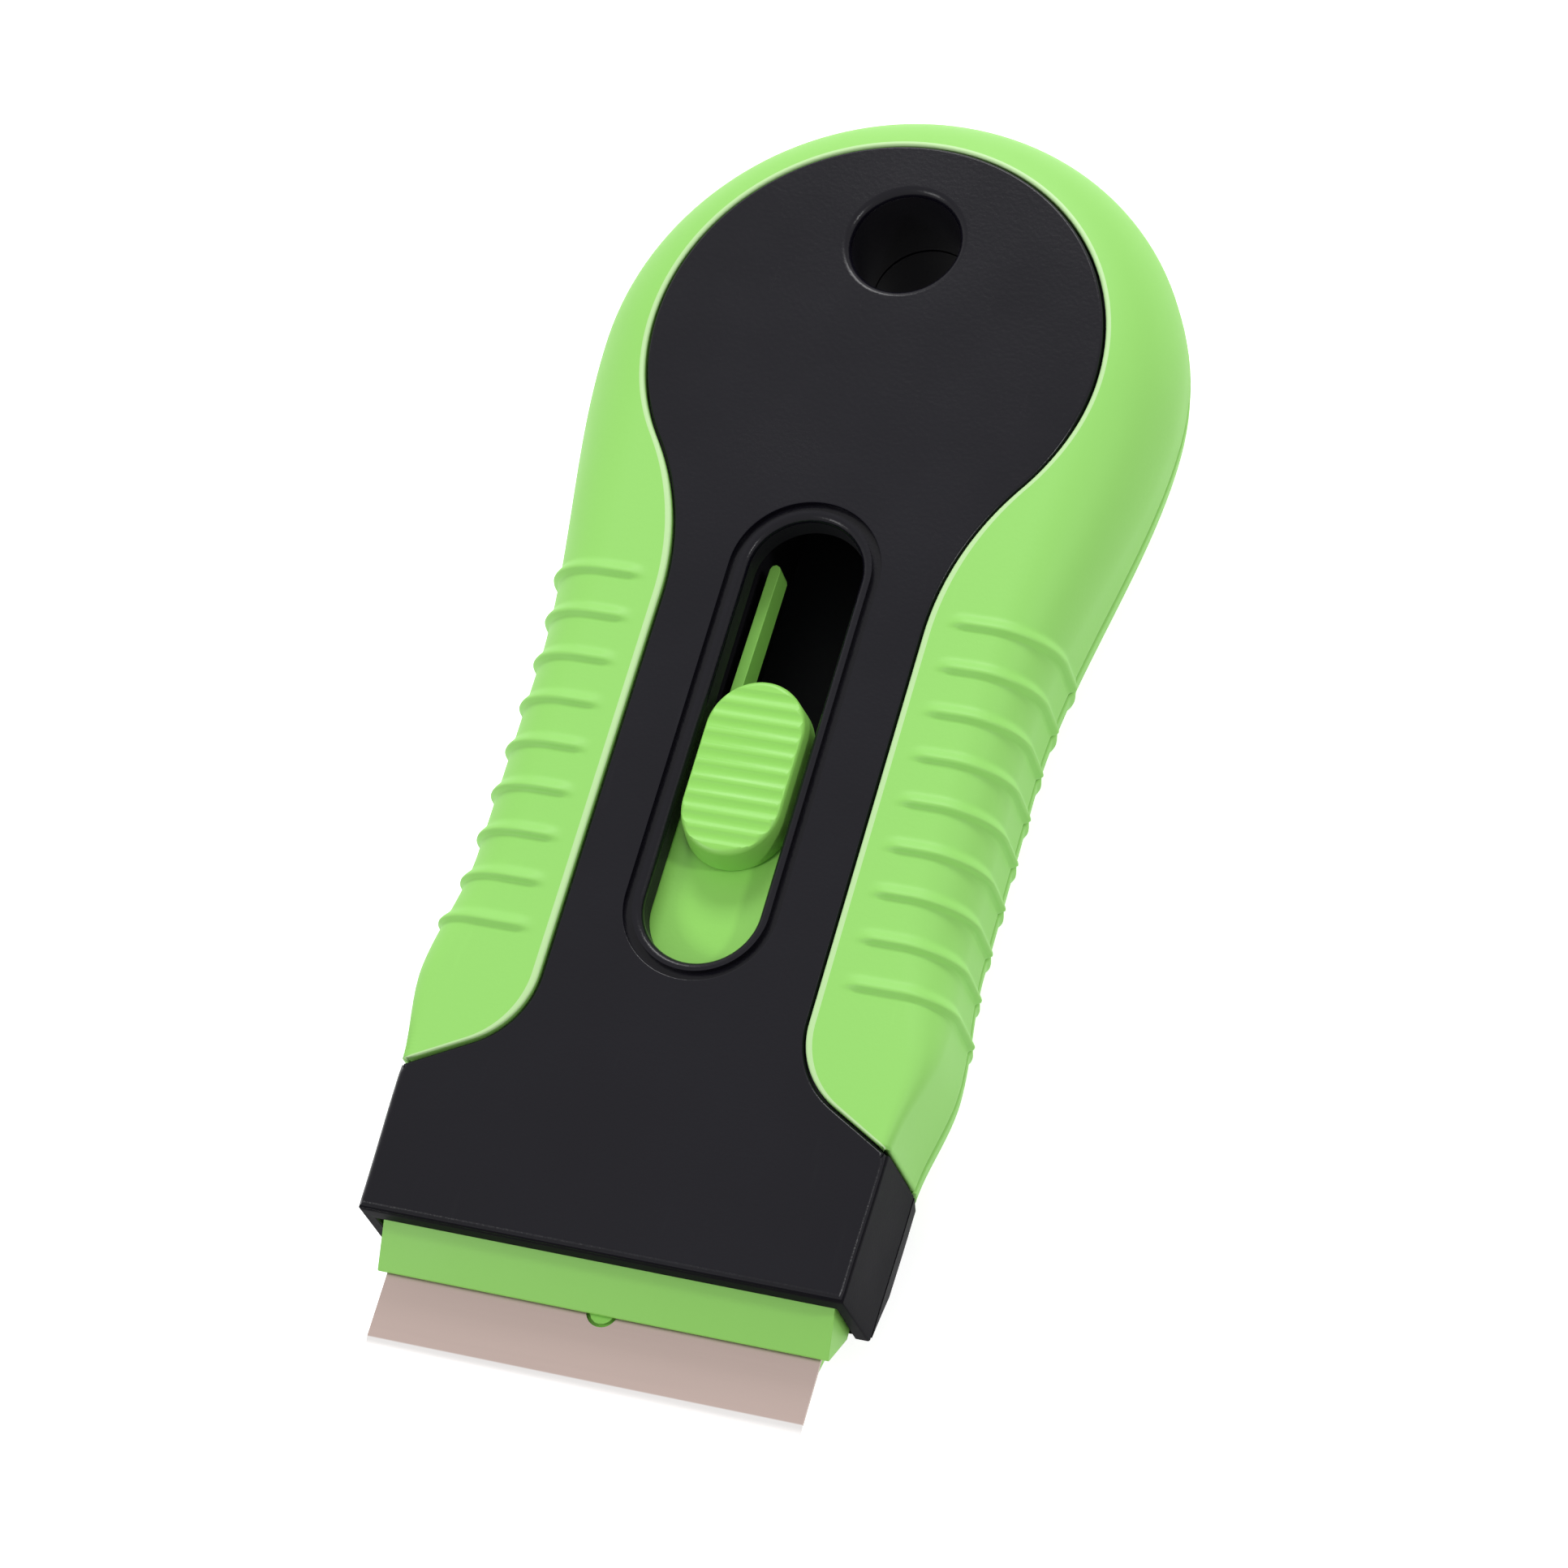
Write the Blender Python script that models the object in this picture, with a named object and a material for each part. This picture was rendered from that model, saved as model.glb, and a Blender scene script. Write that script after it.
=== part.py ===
# Glue removal scraper: a two-shell handle with a soft grip, and a sliding carrier that holds a
# steel blade. It lies on its back on z = 0, with its blade towards -Y and its thumb button up.
# Lengths are in metres. Along the handle, "behind the mouth" means the distance from the open
# front end of the handle towards its tail; pieces are drawn in that frame and hang on two empties.

import math

import bmesh
import bpy

# Handle, seen from above
BODY_HEIGHT = 0.0170
MOUTH_WALL = 0.00135
FRONT_SWELL = 0.00025
FRONT_TO = 0.0130
FRONT_LEAN = 0.025
SHOULDER_SWELL = 0.0017
SHOULDER_AT = 0.0230
WAIST_HALF = 0.0226
WAIST_FROM = 0.0345
WAIST_TO = 0.0520
HEAD_RADIUS = 0.0271
HEAD_AT = 0.0868

# Hard face between the two soft sides
FACE_WAIST_HALF = 0.0120
FACE_HEAD_RADIUS = 0.0207
FACE_HEAD_AT = 0.0874
FACE_NECK_RADIUS = 0.0266
FACE_EDGE_ROUND = 0.0004
FLARE_AT = 0.01524
FLARE_RADIUS = 0.0080
FLARE_TURN = 61.0
FLARE_EDGE_HALF = 0.0216

# Shell walls and the seam between the shells
PARTING_DROP = 0.0100
LOWER_DRAFT = 0.18
SHELL_WALL = 0.0016
FACE_WALL = 0.0026
FLOOR_THICKNESS = 0.0028
FLOOR_BEVEL_WIDTH = 0.0026
FLOOR_BEVEL_HEIGHT = 0.0022
CHIN_AT = 0.0005
CHIN_SLOPE = 35.0
CHIN_WALL = 0.0020
BOTTOM_ROUND = 0.0035

# Soft grip moulded round the sides and the head
GRIP_THICKNESS = 0.0012
GRIP_PROUD = 0.0002
FRONT_ROUND = 0.0006
FRONT_ROUND_TO = 0.0340
WAIST_ROUND = 0.0050
HEAD_ROUND = 0.0080
GRIP_BOTTOM_Z = 0.0004
GRIP_LOWER_FLANK = 0.0016
RIB_COUNT = 9
RIB_PITCH = 0.0043
RIB_FIRST_AT = 0.0271
RIB_RADIUS = 0.00075
RIB_HEIGHT = 0.0005
RIB_INNER_HALF = 0.0142
RIB_TIP_SCALE = 0.62
RIB_UNDER_SWEEP = 62.0

# Thumb slot with its raised rim
SLOT_HALF = 0.0052
SLOT_FRONT_AT = 0.0320
SLOT_RUN = 0.0323
RIM_WIDTH = 0.0009
RIM_SLOPE_WIDTH = 0.0007
RIM_SLOPE_DEPTH = 0.0012
GROOVE_WIDTH = 0.0008
GROOVE_DEPTH = 0.0006

# Hanging hole near the tail
HANG_RADIUS = 0.0050
HANG_AT = 0.0982
HANG_ROUND = 0.0007
HANG_TUBE_WALL = 0.0015

# Blade
BLADE_WIDTH = 0.0390
BLADE_DEPTH = 0.0190
BLADE_THICKNESS = 0.0003
BLADE_DROP = 0.00585
BLADE_OUT = 0.0100
BLADE_GRIND = 0.0008
BLADE_HOLE_RADIUS = 0.0014
BLADE_HOLE_FROM_EDGE = 0.0069

# Blade carrier and the clamp under the blade
NOSE_OUT = 0.00355
NOSE_EDGE = 0.00025
NOSE_SLOPE_FROM = 0.0010
JAW_THICKNESS = 0.00255
JAW_BEVEL = 0.0031
JAW_LEAD = 0.00125
CHEEK_WALL = 0.00065
HEEL_WALL = 0.0020
TONGUE_HALF = 0.0085
TONGUE_WIDE_TO = 0.0460
TONGUE_TIP_HALF = 0.0042
TONGUE_TIP_AT = 0.0526
TONGUE_THICKNESS = 0.0021
CLIP_WIDTH = 0.0034
CLIP_THICKNESS = 0.0010
CLIP_AT = 0.0100
CLIP_REACH = 0.0013
LUG_LENGTH = 0.0030
LUG_THICKNESS = 0.0006
LUG_AT = 0.0035
CORE_DEPTH = 0.0013
CORE_RIB = 0.0015

# Click arms of the carrier
ARM_OUTER_HALF = 0.0051
ARM_WIDTH = 0.0010
ARM_FROM = 0.0280
ARM_LENGTH = 0.0380
ARM_HEIGHT = 0.0028
CLICK_RADIUS = 0.00065
CLICK_FROM_TIP = 0.0025
CLICK_HEIGHT = 0.0013

# Thumb button
BUTTON_HALF = 0.0048
BUTTON_LENGTH = 0.0168
BUTTON_AT = 0.0365
BUTTON_PROUD = 0.0005
BUTTON_ROUND = 0.0006
BUTTON_GROOVES = 10
BUTTON_GROOVE_PITCH = 0.0015
BUTTON_GROOVE_WIDTH = 0.0008
BUTTON_GROOVE_DEPTH = 0.0003
PEG_RADIUS = 0.0015
PEG_SPACING = 0.0090

# Guide rails inside the shells
RAIL_WALL = 0.0018
RAIL_LEAD = 0.0007
RAIL_BACK_AT = 0.0820
SIDE_RAIL_AT = 0.0158
SIDE_RAIL_WALL = 0.0014
TOP_RAIL_WALL = 0.0014
TOP_RAIL_DEPTH = 0.0022

# Case screws, driven from the back
SCREW_HEAD_RADIUS = 0.0026
SCREW_CROWN_RADIUS = 0.0021
SCREW_HEAD_HEIGHT = 0.0017
SCREW_SHANK_RADIUS = 0.0011
SCREW_LENGTH = 0.0094
SCREW_SINK = 0.0006
SCREW_BOSS_WALL = 0.0016
FRONT_SCREW_AT = 0.0340
FRONT_SCREW_HALF = 0.0145
BACK_SCREW_AT = 0.0860

# Clearances
GAP = 0.0003
BLADE_GAP = 0.0002
STUD_GAP = 0.0003

# Counts of facets
FRONT_STEPS = 12
BACK_STEPS = 10
FACE_STEPS = 4
HEAD_STEPS = 28
END_STEPS = 12
ROUND_STEPS = 3
HOLE_STEPS = 24
FLAT_LIMIT = 0.0002

# Derived places
BODY_LENGTH = HEAD_AT + HEAD_RADIUS
PARTING_Z = BODY_HEIGHT - PARTING_DROP
BLADE_TOP_Z = BODY_HEIGHT - BLADE_DROP
MOUTH_Y = (BLADE_OUT - BODY_LENGTH) / 2
CAVITY_TOP = BODY_HEIGHT - FACE_WALL
TONGUE_TOP = CAVITY_TOP - GAP
TONGUE_BOTTOM = TONGUE_TOP - TONGUE_THICKNESS
HEAD_BOTTOM = BLADE_TOP_Z + BLADE_GAP
BLADE_BOTTOM = BLADE_TOP_Z - BLADE_THICKNESS
JAW_TOP = BLADE_BOTTOM - BLADE_GAP
JAW_BOTTOM = JAW_TOP - JAW_THICKNESS
CARRIER_HALF = BLADE_WIDTH / 2 + CHEEK_WALL + BLADE_GAP / 2
CAVITY_MOUTH_HALF = CARRIER_HALF + GAP
MOUTH_HALF = CAVITY_MOUTH_HALF + MOUTH_WALL
FRONT_HALF = MOUTH_HALF + FRONT_SWELL
SHOULDER_HALF = MOUTH_HALF + SHOULDER_SWELL
BLADE_BACK_AT = BLADE_DEPTH - BLADE_OUT
HEEL_FROM = BLADE_BACK_AT + GAP
HEEL_TO = HEEL_FROM + HEEL_WALL
BUTTON_BACK_AT = BUTTON_AT + BUTTON_LENGTH
TRAVEL_OUT = BUTTON_AT - (SLOT_FRONT_AT - SLOT_HALF) - GAP
TRAVEL_IN = (SLOT_FRONT_AT + SLOT_RUN + SLOT_HALF) - BUTTON_BACK_AT - GAP
WIDE_BACK_AT = HEEL_TO + TRAVEL_IN
ARM_TIP_AT = ARM_FROM + ARM_LENGTH
ARM_TOP = TONGUE_BOTTOM + GAP
ARM_BOTTOM = ARM_TOP - ARM_HEIGHT
CLICK_AT = ARM_TIP_AT - CLICK_FROM_TIP
RAIL_INNER_HALF = ARM_OUTER_HALF + GAP
RAIL_TOP = TONGUE_BOTTOM - GAP
LOW_RAIL_TOP = JAW_BOTTOM - GAP
TOP_SHELL_BOTTOM = PARTING_Z + GAP / 2
BOTTOM_SHELL_TOP = PARTING_Z - GAP / 2
GRIP_TOP = BODY_HEIGHT + GRIP_PROUD
GRIP_BOTTOM_ROUND = PARTING_Z - GRIP_BOTTOM_Z - GRIP_LOWER_FLANK
PIN_RADIUS = BLADE_HOLE_RADIUS - STUD_GAP
PIN_AT = BLADE_HOLE_FROM_EDGE - BLADE_OUT
SCREW_HEAD_TOP = SCREW_SINK + SCREW_HEAD_HEIGHT
SCREW_PLACES = ((FRONT_SCREW_HALF, FRONT_SCREW_AT), (-FRONT_SCREW_HALF, FRONT_SCREW_AT), (0.0, BACK_SCREW_AT))
BOSS_RADIUS = SCREW_SHANK_RADIUS + GAP + SCREW_BOSS_WALL
OVERRUN = 0.0020


def smooth(t):
    t = min(max(t, 0.0), 1.0)
    return t * t * (3.0 - 2.0 * t)


def half_width(at):
    """Half width of the handle at a distance behind the mouth, up to the widest line of the head."""
    marks = ((0.0, MOUTH_HALF), (FRONT_TO, FRONT_HALF), (SHOULDER_AT, SHOULDER_HALF),
             (WAIST_FROM, WAIST_HALF), (WAIST_TO, WAIST_HALF), (HEAD_AT, HEAD_RADIUS))
    for (near, wide), (far, next_wide) in zip(marks, marks[1:]):
        if at <= far:
            return wide + (next_wide - wide) * smooth((at - near) / (far - near))
    return HEAD_RADIUS


def shoulder(at):
    """Radius of the grip's upper edge and the lean of its flank, at one distance."""
    front = smooth((at - FRONT_TO) / (FRONT_ROUND_TO - FRONT_TO))
    back = smooth((at - WAIST_TO) / (HEAD_AT - WAIST_TO))
    radius = FRONT_ROUND + (WAIST_ROUND - FRONT_ROUND) * front + (HEAD_ROUND - WAIST_ROUND) * back
    return radius, FRONT_LEAN * (1.0 - front)


def skin_inset(at, z):
    """How far the upper skin lies inside the widest line, at one distance and height."""
    radius, lean = shoulder(at)
    rise = max(z - (GRIP_TOP - radius), 0.0)
    return radius - math.sqrt(radius ** 2 - rise ** 2) + lean * max(z - PARTING_Z, 0.0)


def arc(centre, radius, start, end, steps):
    """Points on an arc in plan; angles in degrees, 0 along +X and 90 towards the tail."""
    points = []
    for i in range(steps + 1):
        angle = math.radians(start + (end - start) * i / steps)
        points.append((centre[0] + radius * math.cos(angle), centre[1] + radius * math.sin(angle)))
    return points


def mirrored(right_side):
    """A closed outline from its right-hand side, listed from the front to the centre line."""
    left_side = [(-point[0],) + point[1:] for point in reversed(right_side) if point[0] > 1e-7]
    return right_side + left_side


def stations(front, steps=FRONT_STEPS):
    """Distances at which the sides are drawn, from front to the head; the waist is one straight."""
    near = [front + (WAIST_FROM - front) * i / steps for i in range(steps + 1)]
    return near + [WAIST_TO + (HEAD_AT - WAIST_TO) * i / BACK_STEPS for i in range(BACK_STEPS)]


def body_outline(inset=0.0, front=0.0):
    """Outline of the handle with its soft grip, drawn in by inset."""
    side = [(half_width(at) - inset, at) for at in stations(front)]
    side += arc((0.0, HEAD_AT), HEAD_RADIUS - inset, 0.0, 90.0, HEAD_STEPS // 2)
    return mirrored(side)


def upper_ring(shrink, share, front):
    """A line round the upper skin drawn in by shrink: share 0 is the foot of its edge, 1 the top."""
    def place(at):
        radius, lean = shoulder(at)
        radius = max(radius - shrink, GAP)
        turn = math.radians(90.0 * share)
        z = GRIP_TOP - shrink - radius * (1.0 - math.sin(turn))
        return shrink + radius * (1.0 - math.cos(turn)) + lean * (z - PARTING_Z), z

    side = []
    for at in stations(front):
        inset, z = place(at)
        side.append((half_width(at) - inset, at, z))
    inset, z = place(HEAD_AT)
    side += [(x, at, z) for x, at in arc((0.0, HEAD_AT), HEAD_RADIUS - inset, 0.0, 90.0, HEAD_STEPS // 2)]
    return mirrored(side)


def upper_rings(shrink, front, steps):
    """Sections of the upper half of the handle, from under the seam to its top."""
    rings = [level(body_outline(shrink, front), PARTING_Z - OVERRUN)]
    return rings + [upper_ring(shrink, i / steps, front) for i in range(steps + 1)]


def lower_rings(shrink, front, low, edge):
    """Sections of the lower half, which narrows downwards to a rounded edge."""
    rings = []
    for i in range(ROUND_STEPS + 1):
        angle = math.radians(90.0 * i / ROUND_STEPS)
        z = low + edge * (1.0 - math.cos(angle))
        inset = shrink + edge * (1.0 - math.sin(angle)) + LOWER_DRAFT * (PARTING_Z - z)
        rings.append(level(body_outline(inset, front), z))
    rings.append(level(body_outline(shrink, front), PARTING_Z))
    rings.append(level(body_outline(shrink, front), PARTING_Z + OVERRUN))
    return rings


def face_outline(grow=0.0, front=0.0, widen=0.0):
    """Outline of the hard face: full width at the front, a narrow waist and a round head."""
    flare = (FACE_WAIST_HALF + FLARE_RADIUS, FLARE_AT + FLARE_RADIUS)
    neck_x = FACE_WAIST_HALF + FACE_NECK_RADIUS
    neck_reach = math.sqrt((FACE_HEAD_RADIUS + FACE_NECK_RADIUS) ** 2 - neck_x ** 2)
    neck = (neck_x, FACE_HEAD_AT - neck_reach)
    tangent = math.degrees(math.atan2(neck_reach, neck_x))
    turned = arc(flare, FLARE_RADIUS - grow, FLARE_TURN - 180.0, -180.0, 7)
    edge_x = min(FLARE_EDGE_HALF, FRONT_HALF + widen - GAP / 3)
    edge_at = turned[0][1] - (edge_x - turned[0][0]) / math.tan(math.radians(FLARE_TURN))
    side = []
    for i in range(FACE_STEPS + 1):
        at = front + (edge_at - front) * i / FACE_STEPS
        side.append((half_width(at) + widen, at))
    side.append((edge_x, edge_at))
    side += turned
    side += arc(neck, FACE_NECK_RADIUS - grow, 180.0, 180.0 - tangent, 7)
    side += arc((0.0, FACE_HEAD_AT), FACE_HEAD_RADIUS + grow, -tangent, 90.0, 16)[1:]
    return mirrored(side)


def cavity_outline(inset, front, z):
    """Outline of the hollow inside the shells at one height, wide at the front for the carrier."""
    side = [(CAVITY_MOUTH_HALF - inset, front), (CAVITY_MOUTH_HALF - inset, WIDE_BACK_AT + GAP)]
    wall = GRIP_THICKNESS + SHELL_WALL
    for at in stations(WIDE_BACK_AT + 2 * GAP, FRONT_STEPS // 4):
        side.append((half_width(at) - wall - inset - skin_inset(at, z), at))
    head_inset = wall + inset + skin_inset(HEAD_AT, z)
    side += arc((0.0, HEAD_AT), HEAD_RADIUS - head_inset, 0.0, 90.0, HEAD_STEPS // 2)
    return mirrored(side)


def slot_outline(half, front_at, run):
    """A slot with round ends, around the centre line."""
    front = arc((0.0, front_at), half, 180.0, 360.0, END_STEPS)
    back = arc((0.0, front_at + run), half, 0.0, 180.0, END_STEPS)
    return front + back


def level(outline, z):
    return [(x, at, z) for x, at in outline]


def blank(name, collection, owner):
    thing = bpy.data.objects.new(name, bpy.data.meshes.new(name))
    collection.objects.link(thing)
    thing.parent = owner
    return thing


def fill_mesh(thing, bm):
    bmesh.ops.connect_verts_nonplanar(bm, angle_limit=FLAT_LIMIT, faces=bm.faces)
    bmesh.ops.recalc_face_normals(bm, faces=bm.faces)
    bm.to_mesh(thing.data)
    bm.free()
    return thing


def add_stack(bm, rings):
    """Add one solid lofted through closed rings with equal counts of points."""
    loops = [[bm.verts.new(point) for point in ring] for ring in rings]
    for lower, upper in zip(loops, loops[1:]):
        for i in range(len(lower)):
            bm.faces.new((lower[i - 1], lower[i], upper[i], upper[i - 1]))
    bm.faces.new(loops[0])
    bm.faces.new(loops[-1])


def add_box(bm, low, high):
    box = bmesh.ops.create_cube(bm, size=1.0)
    size = [b - a for a, b in zip(low, high)]
    middle = [(a + b) / 2 for a, b in zip(low, high)]
    bmesh.ops.scale(bm, vec=size, verts=box["verts"])
    bmesh.ops.translate(bm, vec=middle, verts=box["verts"])


def add_post(bm, x, at, radius, low, high, steps=HOLE_STEPS):
    post = bmesh.ops.create_cone(bm, cap_ends=True, segments=steps, radius1=radius, radius2=radius,
                                 depth=high - low)
    bmesh.ops.translate(bm, vec=(x, at, (low + high) / 2), verts=post["verts"])


def add_side_profile(bm, profile, left, right):
    """Add one solid from a profile in the plane of symmetry, pulled from left to right."""
    rings = [[(x, at, z) for at, z in profile] for x in (left, right)]
    add_stack(bm, rings)


def boolean(target, tool, operation):
    modifier = target.modifiers.new(tool.name, "BOOLEAN")
    modifier.operation = operation
    modifier.object = tool
    tool.hide_render = True
    tool.display_type = "WIRE"


def ring_cutter(name, outer, inner, low, high, collection, owner):
    """A square-cut ring between an outer and an inner outline."""
    plug = blank(name + "_plug", collection, owner)
    bm = bmesh.new()
    add_stack(bm, [level(inner, low - OVERRUN), level(inner, high + OVERRUN)])
    fill_mesh(plug, bm)
    ring = blank(name, collection, owner)
    bm = bmesh.new()
    add_stack(bm, [level(outer, low), level(outer, high)])
    boolean(fill_mesh(ring, bm), plug, "DIFFERENCE")
    return ring


def settle(thing):
    """Turn a piece's modifiers into its mesh, merge leftover points and shade its round faces."""
    bpy.context.view_layer.update()
    graph = bpy.context.evaluated_depsgraph_get()
    mesh = bpy.data.meshes.new_from_object(thing.evaluated_get(graph), depsgraph=graph)
    thing.modifiers.clear()
    old = thing.data
    thing.data = mesh
    bpy.data.meshes.remove(old)
    mesh.name = thing.name
    bm = bmesh.new()
    bm.from_mesh(mesh)
    bmesh.ops.remove_doubles(bm, verts=bm.verts, dist=2e-6)
    bmesh.ops.dissolve_degenerate(bm, edges=bm.edges, dist=2e-6)
    bm.to_mesh(mesh)
    bm.free()
    mesh.shade_smooth()
    mesh.set_sharp_from_angle(angle=math.radians(32.0))


def plastic(name, colour, roughness, metallic=0.0):
    material = bpy.data.materials.new(name)
    material.use_nodes = True
    shader = material.node_tree.nodes["Principled BSDF"]
    shader.inputs["Base Color"].default_value = (*colour, 1.0)
    shader.inputs["Roughness"].default_value = roughness
    shader.inputs["Metallic"].default_value = metallic
    return material


def rounded_top_rings(outline_at, low, high, edge):
    """Sections of a slab with a rounded upper edge."""
    rings = [level(outline_at(0.0), low), level(outline_at(0.0), high - edge)]
    for i in range(1, ROUND_STEPS + 1):
        angle = math.radians(90.0 * i / ROUND_STEPS)
        inset = edge * (1.0 - math.cos(angle))
        rings.append(level(outline_at(inset), high - edge * (1.0 - math.sin(angle))))
    return rings


def rib_path(at, upper):
    """The line of one grip rib on the skin, from the face over the edge to the parting line."""
    half = half_width(at)
    sink = RIB_RADIUS - RIB_HEIGHT
    points = []
    if upper:
        radius, _ = shoulder(at)
        middle = (half - radius, GRIP_TOP - radius)
        bend = []
        for i in range(ROUND_STEPS + 2):
            angle = math.radians(90.0 * (1.0 - i / (ROUND_STEPS + 1)))
            bend.append((middle[0] + (radius - sink) * math.cos(angle),
                         middle[1] + (radius - sink) * math.sin(angle)))
        for i in range(3):
            points.append((RIB_INNER_HALF + (bend[0][0] - RIB_INNER_HALF) * i / 3, bend[0][1]))
        points += bend
        points.append((half - sink, PARTING_Z - RIB_RADIUS))
    else:
        radius = GRIP_BOTTOM_ROUND - sink
        middle = (half - GRIP_BOTTOM_ROUND, GRIP_BOTTOM_Z + GRIP_BOTTOM_ROUND)
        points.append((half - sink, PARTING_Z + RIB_RADIUS))
        for i in range(ROUND_STEPS + 2):
            angle = math.radians(RIB_UNDER_SWEEP * i / (ROUND_STEPS + 1))
            z = middle[1] - radius * math.sin(angle)
            points.append((middle[0] + radius * math.cos(angle) - LOWER_DRAFT * (PARTING_Z - z), z))
    return points


def rib_mesh(upper, collection, owner, name):
    """All the ribs of one grip half: round beads that sink into the skin and taper at one end."""
    curve = bpy.data.curves.new(name, "CURVE")
    curve.dimensions = "3D"
    curve.bevel_depth = RIB_RADIUS
    curve.bevel_resolution = 1
    curve.use_fill_caps = True
    for i in range(RIB_COUNT):
        at = RIB_FIRST_AT + RIB_PITCH * i
        for side in (-1.0, 1.0):
            path = rib_path(at, upper)
            spline = curve.splines.new("POLY")
            spline.points.add(len(path) - 1)
            taper_end = 0 if upper else len(path) - 1
            for k, (x, z) in enumerate(path):
                spline.points[k].co = (side * x, at, z, 1.0)
                spline.points[k].radius = RIB_TIP_SCALE if k == taper_end else 1.0
    thing = bpy.data.objects.new(name, curve)
    collection.objects.link(thing)
    thing.parent = owner
    bpy.context.view_layer.update()
    graph = bpy.context.evaluated_depsgraph_get()
    mesh = bpy.data.meshes.new_from_object(thing.evaluated_get(graph), depsgraph=graph)
    bm = bmesh.new()
    bm.from_mesh(mesh)
    bmesh.ops.remove_doubles(bm, verts=bm.verts, dist=1e-6)
    solid = blank(name + "_solid", collection, owner)
    fill_mesh(solid, bm)
    bpy.data.objects.remove(thing)
    return solid


def make_top_shell(parts, tools, owner):
    shell = blank("top_shell", parts, owner)
    bm = bmesh.new()
    trim = TOP_SHELL_BOTTOM - OVERRUN
    edge_z = BODY_HEIGHT - FACE_EDGE_ROUND
    lean = FRONT_LEAN * (edge_z - PARTING_Z)
    rings = [level(face_outline(), trim), level(face_outline(), PARTING_Z),
             level(face_outline(0.0, 0.0, -lean), edge_z),
             level(face_outline(-FACE_EDGE_ROUND, FACE_EDGE_ROUND, -lean - FACE_EDGE_ROUND), BODY_HEIGHT)]
    add_stack(bm, rings)
    fill_mesh(shell, bm)

    core = blank("top_core", tools, owner)
    bm = bmesh.new()
    add_stack(bm, upper_rings(GRIP_THICKNESS, OVERRUN, ROUND_STEPS))
    boolean(shell, fill_mesh(core, bm), "UNION")

    hollow = blank("top_hollow", tools, owner)
    bm = bmesh.new()
    heights = (trim - OVERRUN, PARTING_Z, (PARTING_Z + CAVITY_TOP) / 2, CAVITY_TOP)
    add_stack(bm, [level(cavity_outline(0.0, -OVERRUN, z), z) for z in heights])
    boolean(shell, fill_mesh(hollow, bm), "DIFFERENCE")

    works = blank("top_works", tools, owner)
    bm = bmesh.new()
    root = CAVITY_TOP + FACE_WALL / 3
    add_post(bm, 0.0, HANG_AT, HANG_RADIUS + HANG_TUBE_WALL, trim, root)
    for x, at in SCREW_PLACES:
        add_post(bm, x, at, BOSS_RADIUS, trim, root, 16)
    for side in (-1.0, 1.0):
        inner = TONGUE_HALF + GAP
        walls = sorted((side * inner, side * (inner + TOP_RAIL_WALL)))
        add_box(bm, (walls[0], WIDE_BACK_AT + 2 * GAP, CAVITY_TOP - TOP_RAIL_DEPTH),
                (walls[1], BUTTON_BACK_AT + TRAVEL_IN + OVERRUN, root))
    boolean(shell, fill_mesh(works, bm), "UNION")

    level_cut = blank("top_seam", tools, owner)
    bm = bmesh.new()
    reach = BODY_LENGTH + OVERRUN
    add_box(bm, (-reach, -OVERRUN, -OVERRUN), (reach, reach, TOP_SHELL_BOTTOM))
    boolean(shell, fill_mesh(level_cut, bm), "DIFFERENCE")

    groove_inner = SLOT_HALF + RIM_WIDTH
    groove = ring_cutter("slot_groove", slot_outline(groove_inner + GROOVE_WIDTH, SLOT_FRONT_AT, SLOT_RUN),
                         slot_outline(groove_inner, SLOT_FRONT_AT, SLOT_RUN),
                         BODY_HEIGHT - GROOVE_DEPTH, BODY_HEIGHT + OVERRUN, tools, owner)
    boolean(shell, groove, "DIFFERENCE")

    holes = blank("top_holes", tools, owner)
    bm = bmesh.new()
    slot_rings = []
    for half, z in ((SLOT_HALF, CAVITY_TOP - OVERRUN), (SLOT_HALF, BODY_HEIGHT - RIM_SLOPE_DEPTH),
                    (SLOT_HALF + 2 * RIM_SLOPE_WIDTH, BODY_HEIGHT + RIM_SLOPE_DEPTH)):
        slot_rings.append(level(slot_outline(half, SLOT_FRONT_AT, SLOT_RUN), z))
    add_stack(bm, slot_rings)
    add_stack(bm, hang_rings(True))
    for x, at in SCREW_PLACES:
        add_post(bm, x, at, SCREW_SHANK_RADIUS + GAP, trim, SCREW_HEAD_TOP + SCREW_LENGTH + GAP, 10)
    boolean(shell, fill_mesh(holes, bm), "DIFFERENCE")
    return shell


def hang_rings(upper):
    """Sections of the hanging hole with a rounded rim, through the upper or the lower shell."""
    face = BODY_HEIGHT if upper else 0.0
    away = 1.0 if upper else -1.0
    rings = [level(arc((0.0, HANG_AT), HANG_RADIUS, 0.0, 360.0, HOLE_STEPS)[:-1], PARTING_Z - away * OVERRUN)]
    for i in range(ROUND_STEPS):
        angle = math.radians(90.0 * i / (ROUND_STEPS - 1))
        radius = HANG_RADIUS + HANG_ROUND * (1.0 - math.cos(angle))
        z = face - away * HANG_ROUND * (1.0 - math.sin(angle))
        rings.append(level(arc((0.0, HANG_AT), radius, 0.0, 360.0, HOLE_STEPS)[:-1], z))
    last = arc((0.0, HANG_AT), HANG_RADIUS + HANG_ROUND, 0.0, 360.0, HOLE_STEPS)[:-1]
    rings.append(level(last, face + away * OVERRUN))
    return rings


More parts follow.
